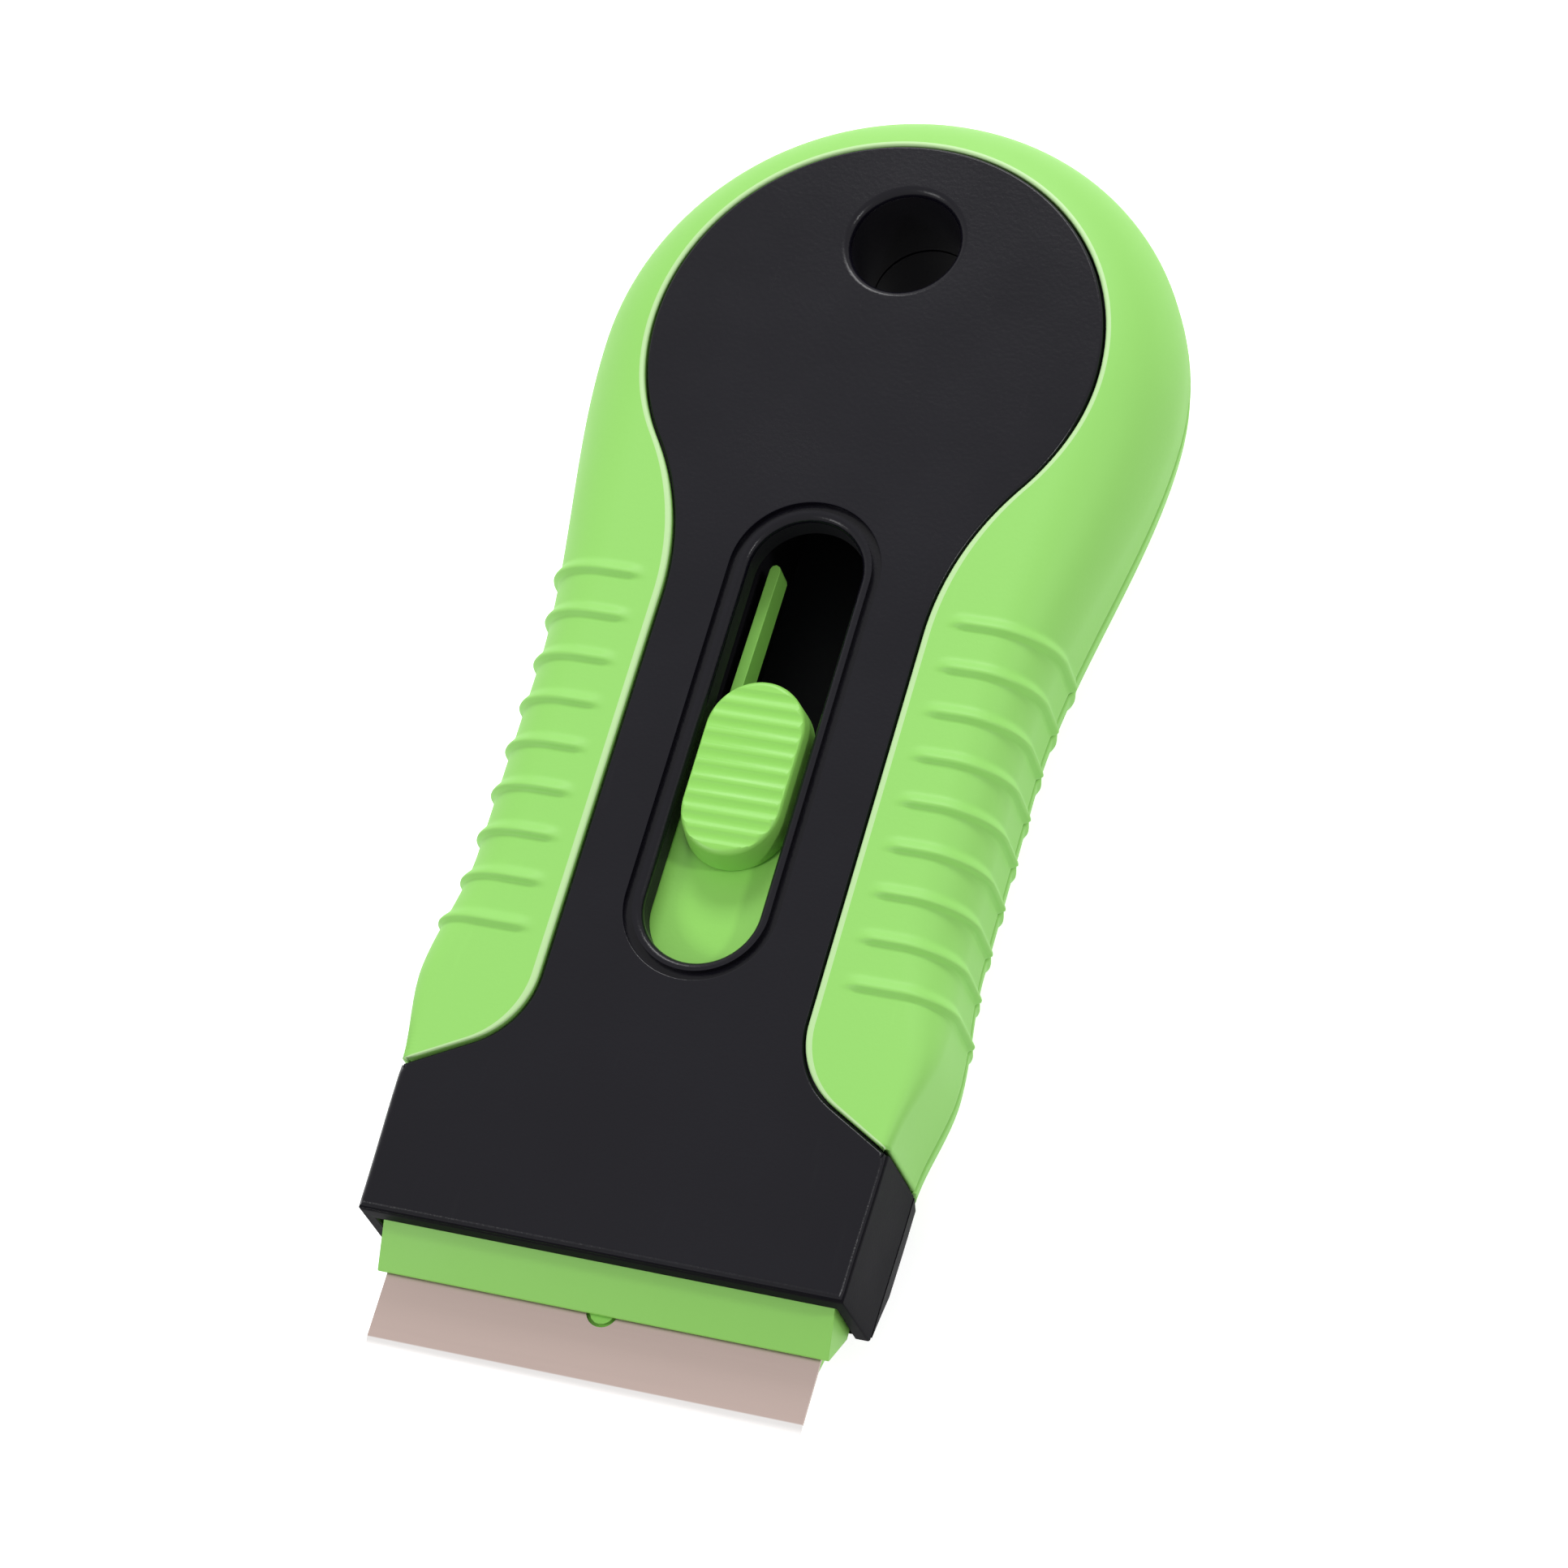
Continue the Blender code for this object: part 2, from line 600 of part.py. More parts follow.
def make_bottom_shell(parts, tools, owner):
    shell = blank("bottom_shell", parts, owner)
    bm = bmesh.new()
    trim = BOTTOM_SHELL_TOP + OVERRUN
    rings = [level(face_outline(-FACE_EDGE_ROUND, FACE_EDGE_ROUND, -FACE_EDGE_ROUND), 0.0),
             level(face_outline(), FACE_EDGE_ROUND), level(face_outline(), trim)]
    add_stack(bm, rings)
    fill_mesh(shell, bm)

    core = blank("bottom_core", tools, owner)
    bm = bmesh.new()
    add_stack(bm, lower_rings(GRIP_THICKNESS, OVERRUN, GRIP_BOTTOM_Z + GRIP_THICKNESS,
                              GRIP_BOTTOM_ROUND - GRIP_THICKNESS))
    boolean(shell, fill_mesh(core, bm), "UNION")

    skin = blank("bottom_skin", tools, owner)
    bm = bmesh.new()
    add_stack(bm, lower_rings(-GAP / 6, -GAP, -GAP / 6, BOTTOM_ROUND))
    boolean(shell, fill_mesh(skin, bm), "INTERSECT")

    hollow = blank("bottom_hollow", tools, owner)
    bm = bmesh.new()
    chin_run = 1.0 / math.tan(math.radians(CHIN_SLOPE))
    pocket_foot = CHIN_AT + CHIN_WALL + (BOTTOM_SHELL_TOP - FLOOR_THICKNESS) * chin_run
    hollow_from = pocket_foot + OVERRUN
    hollow_rings = []
    for inset, z in ((FLOOR_BEVEL_WIDTH, FLOOR_THICKNESS), (0.0, FLOOR_THICKNESS + FLOOR_BEVEL_HEIGHT),
                     (0.0, PARTING_Z), (0.0, trim + OVERRUN)):
        drawn_in = inset + LOWER_DRAFT * max(PARTING_Z - z, 0.0)
        hollow_rings.append(level(cavity_outline(drawn_in, hollow_from, PARTING_Z), z))
    add_stack(bm, hollow_rings)
    boolean(shell, fill_mesh(hollow, bm), "DIFFERENCE")

    pocket = blank("chin_pocket", tools, owner)
    bm = bmesh.new()
    profile = [(CHIN_AT + CHIN_WALL, trim + OVERRUN), (CHIN_AT + CHIN_WALL, BOTTOM_SHELL_TOP),
               (pocket_foot, FLOOR_THICKNESS), (pocket_foot + 2 * OVERRUN, FLOOR_THICKNESS),
               (pocket_foot + 2 * OVERRUN, trim + OVERRUN)]
    pocket_half = CAVITY_MOUTH_HALF - FLOOR_BEVEL_WIDTH
    add_side_profile(bm, profile, -pocket_half, pocket_half)
    boolean(shell, fill_mesh(pocket, bm), "DIFFERENCE")

    works = blank("bottom_works", tools, owner)
    bm = bmesh.new()
    root = (GRIP_BOTTOM_Z + GRIP_THICKNESS + FLOOR_THICKNESS) / 2
    add_post(bm, 0.0, HANG_AT, HANG_RADIUS + HANG_TUBE_WALL, root, BOTTOM_SHELL_TOP)
    for x, at in SCREW_PLACES:
        add_post(bm, x, at, SCREW_HEAD_RADIUS + GAP + SCREW_BOSS_WALL / 2, root, BOTTOM_SHELL_TOP, 16)
    low_from = BLADE_BACK_AT - RAIL_LEAD
    tall_from = WIDE_BACK_AT + 2 * GAP
    rail = [(low_from, root), (low_from, LOW_RAIL_TOP), (tall_from, LOW_RAIL_TOP), (tall_from, RAIL_TOP),
            (RAIL_BACK_AT, RAIL_TOP), (RAIL_BACK_AT, root)]
    side_rail = [(low_from, root), (low_from, LOW_RAIL_TOP), (tall_from, LOW_RAIL_TOP), (tall_from, root)]
    for side in (-1.0, 1.0):
        walls = sorted((side * RAIL_INNER_HALF, side * (RAIL_INNER_HALF + RAIL_WALL)))
        add_side_profile(bm, rail, walls[0], walls[1])
        walls = sorted((side * SIDE_RAIL_AT, side * (SIDE_RAIL_AT + SIDE_RAIL_WALL)))
        add_side_profile(bm, side_rail, walls[0], walls[1])
    boolean(shell, fill_mesh(works, bm), "UNION")

    reach = BODY_LENGTH + OVERRUN
    window = SIDE_RAIL_AT + SIDE_RAIL_WALL + GAP
    near = CHIN_AT + CHIN_WALL + GAP
    far = RAIL_BACK_AT + GAP
    seam = ring_cutter("bottom_seam", [(-reach, -reach), (reach, -reach), (reach, reach), (-reach, reach)],
                       [(-window, near), (window, near), (window, far), (-window, far)],
                       BOTTOM_SHELL_TOP, trim + 2 * OVERRUN, tools, owner)
    boolean(shell, seam, "DIFFERENCE")

    chin = blank("chin_slope", tools, owner)
    bm = bmesh.new()
    high = trim + OVERRUN
    slope = [(CHIN_AT - (high - BOTTOM_SHELL_TOP) * chin_run, high),
             (CHIN_AT + (BOTTOM_SHELL_TOP + OVERRUN) * chin_run, -OVERRUN),
             (-BODY_HEIGHT, -OVERRUN), (-BODY_HEIGHT, high)]
    add_side_profile(bm, slope, -SHOULDER_HALF - OVERRUN, SHOULDER_HALF + OVERRUN)
    boolean(shell, fill_mesh(chin, bm), "DIFFERENCE")

    runs = blank("click_runs", tools, owner)
    bm = bmesh.new()
    clicks = blank("click_notches", tools, owner)
    notch_bm = bmesh.new()
    run_depth = CLICK_RADIUS + GAP / 2
    for side in (-1.0, 1.0):
        walls = sorted((side * (RAIL_INNER_HALF - GAP), side * (RAIL_INNER_HALF - GAP + run_depth)))
        add_box(bm, (walls[0], CLICK_AT - TRAVEL_OUT - CLICK_RADIUS - GAP, ARM_BOTTOM - GAP),
                (walls[1], RAIL_BACK_AT + OVERRUN, RAIL_TOP + OVERRUN))
        for shift in (-TRAVEL_OUT, 0.0, TRAVEL_IN):
            add_post(notch_bm, side * RAIL_INNER_HALF, CLICK_AT + shift, 2 * CLICK_RADIUS, ARM_BOTTOM - GAP,
                     RAIL_TOP + OVERRUN, 12)
    boolean(shell, fill_mesh(runs, bm), "DIFFERENCE")
    boolean(shell, fill_mesh(clicks, notch_bm), "DIFFERENCE")

    holes = blank("bottom_holes", tools, owner)
    bm = bmesh.new()
    add_stack(bm, hang_rings(False))
    for x, at in SCREW_PLACES:
        wide = arc((x, at), SCREW_HEAD_RADIUS + GAP, 0.0, 360.0, 16)[:-1]
        narrow = arc((x, at), SCREW_SHANK_RADIUS + GAP, 0.0, 360.0, 16)[:-1]
        seat = SCREW_HEAD_TOP + GAP
        add_stack(bm, [level(wide, -OVERRUN), level(wide, seat), level(narrow, seat),
                       level(narrow, trim + OVERRUN)])
    boolean(shell, fill_mesh(holes, bm), "DIFFERENCE")
    return shell


def make_grip(upper, parts, tools, owner):
    name = "top_grip" if upper else "bottom_grip"
    grip = blank(name, parts, owner)
    bm = bmesh.new()
    if upper:
        add_stack(bm, upper_rings(0.0, FLARE_AT / 2, ROUND_STEPS + 1))
    else:
        add_stack(bm, lower_rings(0.0, FLARE_AT / 2, GRIP_BOTTOM_Z, GRIP_BOTTOM_ROUND))
    fill_mesh(grip, bm)
    boolean(grip, rib_mesh(upper, tools, owner, name + "_ribs"), "UNION")

    face = blank(name + "_face_gap", tools, owner)
    bm = bmesh.new()
    outline = face_outline(GAP, -OVERRUN, OVERRUN)
    add_stack(bm, [level(outline, -2 * OVERRUN), level(outline, BODY_HEIGHT + 2 * OVERRUN)])
    boolean(grip, fill_mesh(face, bm), "DIFFERENCE")

    core = blank(name + "_core_gap", tools, owner)
    bm = bmesh.new()
    clear = GRIP_THICKNESS - GAP
    if upper:
        add_stack(bm, upper_rings(clear, OVERRUN, ROUND_STEPS))
    else:
        add_stack(bm, lower_rings(clear, OVERRUN, GRIP_BOTTOM_Z + clear, GRIP_BOTTOM_ROUND - clear))
    boolean(grip, fill_mesh(core, bm), "DIFFERENCE")

    if not upper:
        wells = blank("screw_wells", tools, owner)
        bm = bmesh.new()
        for x, at in SCREW_PLACES:
            add_post(bm, x, at, SCREW_HEAD_RADIUS + 2 * GAP, -OVERRUN, PARTING_Z, 16)
        boolean(grip, fill_mesh(wells, bm), "DIFFERENCE")

    seam = blank(name + "_seam", tools, owner)
    bm = bmesh.new()
    reach = BODY_LENGTH + OVERRUN
    if upper:
        add_box(bm, (-reach, -reach, -OVERRUN), (reach, reach, TOP_SHELL_BOTTOM))
    else:
        add_box(bm, (-reach, -reach, BOTTOM_SHELL_TOP), (reach, reach, BODY_HEIGHT))
    boolean(grip, fill_mesh(seam, bm), "DIFFERENCE")
    return grip


def make_carrier(parts, tools, owner):
    carrier = blank("blade_carrier", parts, owner)
    bm = bmesh.new()
    profile = [(-NOSE_OUT, HEAD_BOTTOM), (-NOSE_OUT, HEAD_BOTTOM + NOSE_EDGE), (NOSE_SLOPE_FROM, TONGUE_TOP),
               (HEEL_TO, TONGUE_TOP), (HEEL_TO, JAW_BOTTOM), (JAW_BEVEL - NOSE_OUT, JAW_BOTTOM)]
    add_side_profile(bm, profile, -CARRIER_HALF, CARRIER_HALF)
    fill_mesh(carrier, bm)

    bed = blank("blade_bed", tools, owner)
    bm = bmesh.new()
    bed_half = CARRIER_HALF - CHEEK_WALL
    add_box(bm, (-bed_half, -2 * NOSE_OUT, JAW_BOTTOM - OVERRUN), (bed_half, HEEL_FROM, HEAD_BOTTOM))
    boolean(carrier, fill_mesh(bed, bm), "DIFFERENCE")

    tongue = blank("tongue", tools, owner)
    bm = bmesh.new()
    plan = mirrored([(TONGUE_HALF, HEEL_FROM + HEEL_WALL / 2), (TONGUE_HALF, TONGUE_WIDE_TO)]
                    + arc((0.0, TONGUE_TIP_AT - TONGUE_TIP_HALF), TONGUE_TIP_HALF, 0.0, 90.0, END_STEPS // 2))
    add_stack(bm, [level(plan, TONGUE_BOTTOM), level(plan, TONGUE_TOP)])
    boolean(carrier, fill_mesh(tongue, bm), "UNION")

    arms = blank("click_arms", tools, owner)
    bm = bmesh.new()
    tip = ARM_WIDTH / 2
    arm = [(ARM_OUTER_HALF - ARM_WIDTH, ARM_FROM), (ARM_OUTER_HALF, ARM_FROM)]
    arm += arc((ARM_OUTER_HALF - tip, ARM_TIP_AT - tip), tip, 0.0, 180.0, 4)
    for side in (-1.0, 1.0):
        plan = [(side * x, at) for x, at in arm]
        add_stack(bm, [level(plan, ARM_BOTTOM), level(plan, ARM_TOP)])
    boolean(carrier, fill_mesh(arms, bm), "UNION")

    clicks = blank("click_bumps", tools, owner)
    bm = bmesh.new()
    for side in (-1.0, 1.0):
        add_post(bm, side * (ARM_OUTER_HALF - CLICK_RADIUS / 4), CLICK_AT, CLICK_RADIUS, ARM_BOTTOM + GAP / 3,
                 ARM_BOTTOM + CLICK_HEIGHT, 10)
    boolean(carrier, fill_mesh(clicks, bm), "UNION")

    holes = blank("carrier_holes", tools, owner)
    bm = bmesh.new()
    for at in peg_places():
        add_post(bm, 0.0, at, PEG_RADIUS + GAP, TONGUE_BOTTOM - OVERRUN, TONGUE_TOP + OVERRUN, 14)
    clip_low = clip_bottom()
    for side in (-1.0, 1.0):
        middle = side * CLIP_AT
        reach = CLIP_WIDTH / 2 + GAP
        add_box(bm, (middle - reach, HEEL_FROM - OVERRUN, clip_low - GAP),
                (middle + reach, HEEL_TO + GAP, clip_low + CLIP_THICKNESS + GAP))
        walls = sorted((side * (bed_half - CHEEK_WALL), side * (CARRIER_HALF + OVERRUN)))
        add_box(bm, (walls[0], LUG_AT - LUG_LENGTH / 2 - GAP, lug_bottom() - GAP),
                (walls[1], LUG_AT + LUG_LENGTH / 2 + GAP, lug_bottom() + LUG_THICKNESS + GAP))
    boolean(carrier, fill_mesh(holes, bm), "DIFFERENCE")
    return carrier


def peg_places():
    middle = BUTTON_AT + BUTTON_LENGTH / 2
    return middle - PEG_SPACING / 2, middle + PEG_SPACING / 2


def clip_bottom():
    return (JAW_BOTTOM + JAW_TOP) / 2 - CLIP_THICKNESS / 2


def lug_bottom():
    return (JAW_BOTTOM + JAW_TOP) / 2 - LUG_THICKNESS / 2


def make_clamp(parts, tools, owner):
    clamp = blank("blade_clamp", parts, owner)
    bm = bmesh.new()
    lead = -NOSE_OUT - JAW_LEAD
    half = CARRIER_HALF - CHEEK_WALL - GAP
    profile = [(lead, JAW_TOP - BLADE_GAP), (lead, JAW_TOP), (BLADE_BACK_AT, JAW_TOP),
               (BLADE_BACK_AT, JAW_BOTTOM), (JAW_BEVEL - NOSE_OUT, JAW_BOTTOM)]
    add_side_profile(bm, profile, -half, half)
    fill_mesh(clamp, bm)

    lugs = blank("clamp_lugs", tools, owner)
    bm = bmesh.new()
    add_post(bm, 0.0, PIN_AT, PIN_RADIUS, (JAW_BOTTOM + JAW_TOP) / 2, BLADE_TOP_Z, 16)
    for side in (-1.0, 1.0):
        middle = side * CLIP_AT
        add_box(bm, (middle - CLIP_WIDTH / 2, BLADE_BACK_AT - OVERRUN, clip_bottom()),
                (middle + CLIP_WIDTH / 2, HEEL_TO + CLIP_REACH, clip_bottom() + CLIP_THICKNESS))
        walls = sorted((side * (half - CHEEK_WALL), side * (CARRIER_HALF - GAP)))
        add_box(bm, (walls[0], LUG_AT - LUG_LENGTH / 2, lug_bottom()),
                (walls[1], LUG_AT + LUG_LENGTH / 2, lug_bottom() + LUG_THICKNESS))
    boolean(clamp, fill_mesh(lugs, bm), "UNION")

    cores = blank("clamp_cores", tools, owner)
    bm = bmesh.new()
    count = 4
    inner_half = CLIP_AT - CLIP_WIDTH / 2 - CORE_RIB
    span = 2 * inner_half
    width = (span - (count - 1) * CORE_RIB) / count
    front = JAW_BEVEL - NOSE_OUT + CORE_RIB
    for i in range(count):
        left = -inner_half + i * (width + CORE_RIB)
        add_box(bm, (left, front, JAW_BOTTOM - OVERRUN),
                (left + width, BLADE_BACK_AT - CORE_RIB, JAW_BOTTOM + CORE_DEPTH))
    boolean(clamp, fill_mesh(cores, bm), "DIFFERENCE")
    return clamp


def make_blade(parts, tools, owner):
    blade = blank("blade", parts, owner)
    bm = bmesh.new()
    profile = [(-BLADE_OUT, BLADE_BOTTOM), (BLADE_GRIND - BLADE_OUT, BLADE_TOP_Z),
               (BLADE_BACK_AT, BLADE_TOP_Z), (BLADE_BACK_AT, BLADE_BOTTOM)]
    add_side_profile(bm, profile, -BLADE_WIDTH / 2, BLADE_WIDTH / 2)
    fill_mesh(blade, bm)
    hole = blank("blade_hole", tools, owner)
    bm = bmesh.new()
    add_post(bm, 0.0, PIN_AT, BLADE_HOLE_RADIUS, BLADE_BOTTOM - OVERRUN, BLADE_TOP_Z + OVERRUN)
    boolean(blade, fill_mesh(hole, bm), "DIFFERENCE")
    return blade


def make_button(parts, tools, owner):
    button = blank("thumb_button", parts, owner)
    bm = bmesh.new()
    run = BUTTON_LENGTH - 2 * BUTTON_HALF
    top = BODY_HEIGHT + BUTTON_PROUD

    def outline_at(inset):
        return slot_outline(BUTTON_HALF - inset, BUTTON_AT + BUTTON_HALF, run)

    add_stack(bm, rounded_top_rings(outline_at, TONGUE_TOP + GAP, top, BUTTON_ROUND))
    fill_mesh(button, bm)

    pegs = blank("button_pegs", tools, owner)
    bm = bmesh.new()
    for at in peg_places():
        add_post(bm, 0.0, at, PEG_RADIUS, TONGUE_BOTTOM + GAP, TONGUE_TOP + 2 * GAP, 14)
    boolean(button, fill_mesh(pegs, bm), "UNION")

    grooves = blank("button_grooves", tools, owner)
    bm = bmesh.new()
    middle = BUTTON_AT + BUTTON_LENGTH / 2
    for i in range(BUTTON_GROOVES):
        at = middle + (i - (BUTTON_GROOVES - 1) / 2) * BUTTON_GROOVE_PITCH
        half = BUTTON_GROOVE_WIDTH / 2
        lift = GAP
        spread = half * (1.0 + lift / BUTTON_GROOVE_DEPTH)
        notch = [(at - spread, top + lift), (at, top - BUTTON_GROOVE_DEPTH), (at + spread, top + lift)]
        add_side_profile(bm, notch, -BUTTON_HALF - OVERRUN, BUTTON_HALF + OVERRUN)
    boolean(button, fill_mesh(grooves, bm), "DIFFERENCE")
    return button


def make_screw(name, place, parts, owner):
    screw = blank(name, parts, owner)
    screw.location = (place[0], place[1], 0.0)
    bm = bmesh.new()
    tip = SCREW_HEAD_TOP + SCREW_LENGTH
    rings = []
    for radius, z in ((SCREW_CROWN_RADIUS, SCREW_SINK),
                      (SCREW_HEAD_RADIUS, SCREW_SINK + SCREW_HEAD_HEIGHT / 3),
                      (SCREW_HEAD_RADIUS, SCREW_HEAD_TOP), (SCREW_SHANK_RADIUS, SCREW_HEAD_TOP),
                      (SCREW_SHANK_RADIUS, tip - 2 * SCREW_SHANK_RADIUS), (SCREW_SHANK_RADIUS / 4, tip)):
        rings.append(level(arc((0.0, 0.0), radius, 0.0, 360.0, 12)[:-1], z))
    add_stack(bm, rings)
    return fill_mesh(screw, bm)


for thing in list(bpy.data.objects):
    bpy.data.objects.remove(thing)

parts = bpy.data.collections.new("glue_scraper")
tools = bpy.data.collections.new("cutters")
bpy.context.scene.collection.children.link(parts)
bpy.context.scene.collection.children.link(tools)

handle = bpy.data.objects.new("handle_mouth", None)
handle.location = (0.0, MOUTH_Y, 0.0)
parts.objects.link(handle)
slide = bpy.data.objects.new("carrier_slide", None)
slide.location = (0.0, MOUTH_Y, 0.0)
parts.objects.link(slide)

black = plastic("black_shell", (0.026, 0.025, 0.031), 0.38)
green = plastic("green_grip", (0.330, 0.760, 0.150), 0.55)
bright_green = plastic("green_slider", (0.300, 0.720, 0.120), 0.45)
steel = plastic("blade_steel", (0.500, 0.455, 0.420), 0.42, 1.0)
zinc = plastic("screw_zinc", (0.560, 0.560, 0.570), 0.35, 1.0)

pieces = [
    (make_top_shell(parts, tools, handle), black),
    (make_bottom_shell(parts, tools, handle), black),
    (make_grip(True, parts, tools, handle), green),
    (make_grip(False, parts, tools, handle), green),
    (make_screw("case_screw_right", SCREW_PLACES[0], parts, handle), zinc),
    (make_screw("case_screw_left", SCREW_PLACES[1], parts, handle), zinc),
    (make_screw("case_screw_back", SCREW_PLACES[2], parts, handle), zinc),
    (make_carrier(parts, tools, slide), bright_green),
    (make_button(parts, tools, slide), bright_green),
    (make_clamp(parts, tools, slide), bright_green),
    (make_blade(parts, tools, slide), steel),
]
for piece, material in pieces:
    settle(piece)
    piece.data.materials.clear()
    piece.data.materials.append(material)
for tool in list(tools.objects):
    tool.hide_viewport = True
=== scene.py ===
import math

import bmesh
import bpy
from mathutils import Matrix, Vector


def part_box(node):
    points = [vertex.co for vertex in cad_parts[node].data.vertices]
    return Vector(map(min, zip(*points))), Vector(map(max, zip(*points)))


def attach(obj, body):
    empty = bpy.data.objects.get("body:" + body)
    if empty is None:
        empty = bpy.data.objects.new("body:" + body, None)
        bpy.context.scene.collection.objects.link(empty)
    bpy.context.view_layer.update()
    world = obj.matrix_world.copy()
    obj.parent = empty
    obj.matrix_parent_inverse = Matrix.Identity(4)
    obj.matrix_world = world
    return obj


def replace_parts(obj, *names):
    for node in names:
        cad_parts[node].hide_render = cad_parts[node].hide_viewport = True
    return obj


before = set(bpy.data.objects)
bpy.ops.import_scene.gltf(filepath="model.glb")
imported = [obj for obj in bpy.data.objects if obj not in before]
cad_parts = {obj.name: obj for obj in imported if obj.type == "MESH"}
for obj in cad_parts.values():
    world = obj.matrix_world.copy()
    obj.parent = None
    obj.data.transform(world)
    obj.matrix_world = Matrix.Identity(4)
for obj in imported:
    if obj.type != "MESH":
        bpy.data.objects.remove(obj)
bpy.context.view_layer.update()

# The scraper lies on its back on a plain white table that runs into a white backdrop.
# The table shows white to the camera and in reflections, and keeps the soft shadow.
TABLE_SIZE = 3.0
TABLE_DROP = 0.00005

table_mesh = bpy.data.meshes.new("table_top")
bm = bmesh.new()
bmesh.ops.create_grid(bm, x_segments=1, y_segments=1, size=TABLE_SIZE / 2)
bmesh.ops.translate(bm, vec=(0.0, 0.0, -TABLE_DROP), verts=bm.verts)
bm.to_mesh(table_mesh)
bm.free()
table = bpy.data.objects.new("table_top", table_mesh)
bpy.context.scene.collection.objects.link(table)

paper = bpy.data.materials.new("white_table")
paper.use_nodes = True
nodes = paper.node_tree.nodes
links = paper.node_tree.links
shader = nodes["Principled BSDF"]
shader.inputs["Base Color"].default_value = (0.93, 0.93, 0.935, 1.0)
shader.inputs["Roughness"].default_value = 0.85
shader.inputs["Specular IOR Level"].default_value = 0.1
shader.inputs["Emission Color"].default_value = (1.0, 1.0, 1.0, 1.0)
table_mesh.materials.append(paper)


def seen_straight(nodes, links):
    """1 for what the camera, a mirror or glass looks at, 0 for light on its way to the object."""
    path = nodes.new("ShaderNodeLightPath")
    total = path.outputs["Is Camera Ray"]
    for ray in ("Is Glossy Ray", "Is Transmission Ray"):
        either = nodes.new("ShaderNodeMath")
        either.operation = "MAXIMUM"
        links.new(total, either.inputs[0])
        links.new(path.outputs[ray], either.inputs[1])
        total = either.outputs[0]
    return total


glow = nodes.new("ShaderNodeMapRange")
glow.inputs["To Max"].default_value = 0.70
links.new(seen_straight(nodes, links), glow.inputs["Value"])
links.new(glow.outputs["Result"], shader.inputs["Emission Strength"])

world = bpy.data.worlds.new("white_studio")
bpy.context.scene.world = world
world.use_nodes = True
nodes = world.node_tree.nodes
links = world.node_tree.links
sky = nodes["Background"]
level = nodes.new("ShaderNodeMapRange")
level.inputs["To Min"].default_value = 0.34
level.inputs["To Max"].default_value = 1.0
links.new(seen_straight(nodes, links), level.inputs["Value"])
links.new(level.outputs["Result"], sky.inputs["Strength"])
sky.inputs["Color"].default_value = (1.0, 1.0, 1.0, 1.0)


def softbox(name, place, aim, size, power):
    lamp = bpy.data.lights.new(name, "AREA")
    lamp.shape = "RECTANGLE"
    lamp.size = size[0]
    lamp.size_y = size[1]
    lamp.energy = power
    holder = bpy.data.objects.new(name, lamp)
    bpy.context.scene.collection.objects.link(holder)
    holder.location = place
    holder.rotation_euler = (Vector(aim) - Vector(place)).to_track_quat("-Z", "Y").to_euler()


softbox("back_softbox", (-0.10, 0.75, 0.60), (0.0, 0.0, 0.0), (0.45, 0.25), 4.5)
softbox("left_softbox", (-0.55, -0.50, 0.65), (0.0, 0.0, 0.0), (0.25, 0.25), 2.4)
softbox("right_softbox", (0.72, 0.08, 0.66), (0.0, 0.0, 0.0), (0.10, 0.10), 1.7)

# The camera looks down on the tool from the front right, turned so that the blade points to
# the lower left of the picture. Its place and lens come from a fit to the photographed edges.
VIEW_RIGHT = Vector((0.9381, 0.2687, -0.2183))
VIEW_UP = Vector((-0.1551, 0.8899, 0.4287))
VIEW_BACK = Vector((0.3095, -0.3683, 0.8766))
VIEW_TARGET = Vector((0.00395, -0.00775, 0.0170))
VIEW_DISTANCE = 0.445
VIEW_FOCAL = 6409.0
PHOTO_WIDTH = 1932.0

lens = bpy.data.cameras.new("camera")
lens.sensor_width = 36.0
lens.lens = lens.sensor_width * VIEW_FOCAL / PHOTO_WIDTH
lens.clip_start = 0.01
camera = bpy.data.objects.new("camera", lens)
bpy.context.scene.collection.objects.link(camera)
turn = Matrix((VIEW_RIGHT.normalized(), VIEW_UP.normalized(), VIEW_BACK.normalized())).transposed()
camera.matrix_world = Matrix.Translation(VIEW_TARGET + VIEW_BACK * VIEW_DISTANCE) @ turn.to_4x4()
bpy.context.scene.camera = camera
bpy.context.scene.view_settings.view_transform = "Standard"

# The upper half of the handle: one black moulding with a flat face, a raised lip round the
# thumb slot, a hanging hole and a square mouth that the blade comes out of.
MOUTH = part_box("top_shell")[0].y
FACE_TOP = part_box("top_shell")[1].z
SEAM = 0.0070
PARTING = 0.00715
MOUTH_HALF = 0.0219
FRONT_HALF = 0.02215
FRONT_TO = 0.0130
SHOULDER_HALF = 0.0236
SHOULDER_AT = 0.0230
WAIST_HALF = 0.0226
WAIST_FROM = 0.0345
WAIST_TO = 0.0520
HEAD_RADIUS = 0.0271
HEAD_AT = 0.0868
SKIN_TOP = FACE_TOP + 0.0002
FRONT_ROUND = 0.0006
FRONT_ROUND_TO = 0.0340
WAIST_ROUND = 0.0050
HEAD_ROUND = 0.0080
FRONT_LEAN = 0.025
FRONT_LEAN_TO = 0.0140
FACE_WAIST = 0.0120
FACE_HEAD = 0.0207
FACE_HEAD_AT = 0.0874
NECK_RADIUS = 0.0266
FLARE_AT = 0.01524
FLARE_RADIUS = 0.0080
FLARE_TURN = 61.0
FLARE_EDGE = 0.0216
CORE_INSET = 0.0012
CAVITY_TOP = 0.0144
CAVITY_HALF = 0.02055
CAVITY_INSET = 0.0028
CAVITY_PLAIN_TO = 0.0276
CAVITY_DROP = 0.0030
CORE_ROUND_MIN = 0.0003
SLOT_HALF = 0.0052
SLOT_FRONT = 0.0320
SLOT_RUN = 0.0323
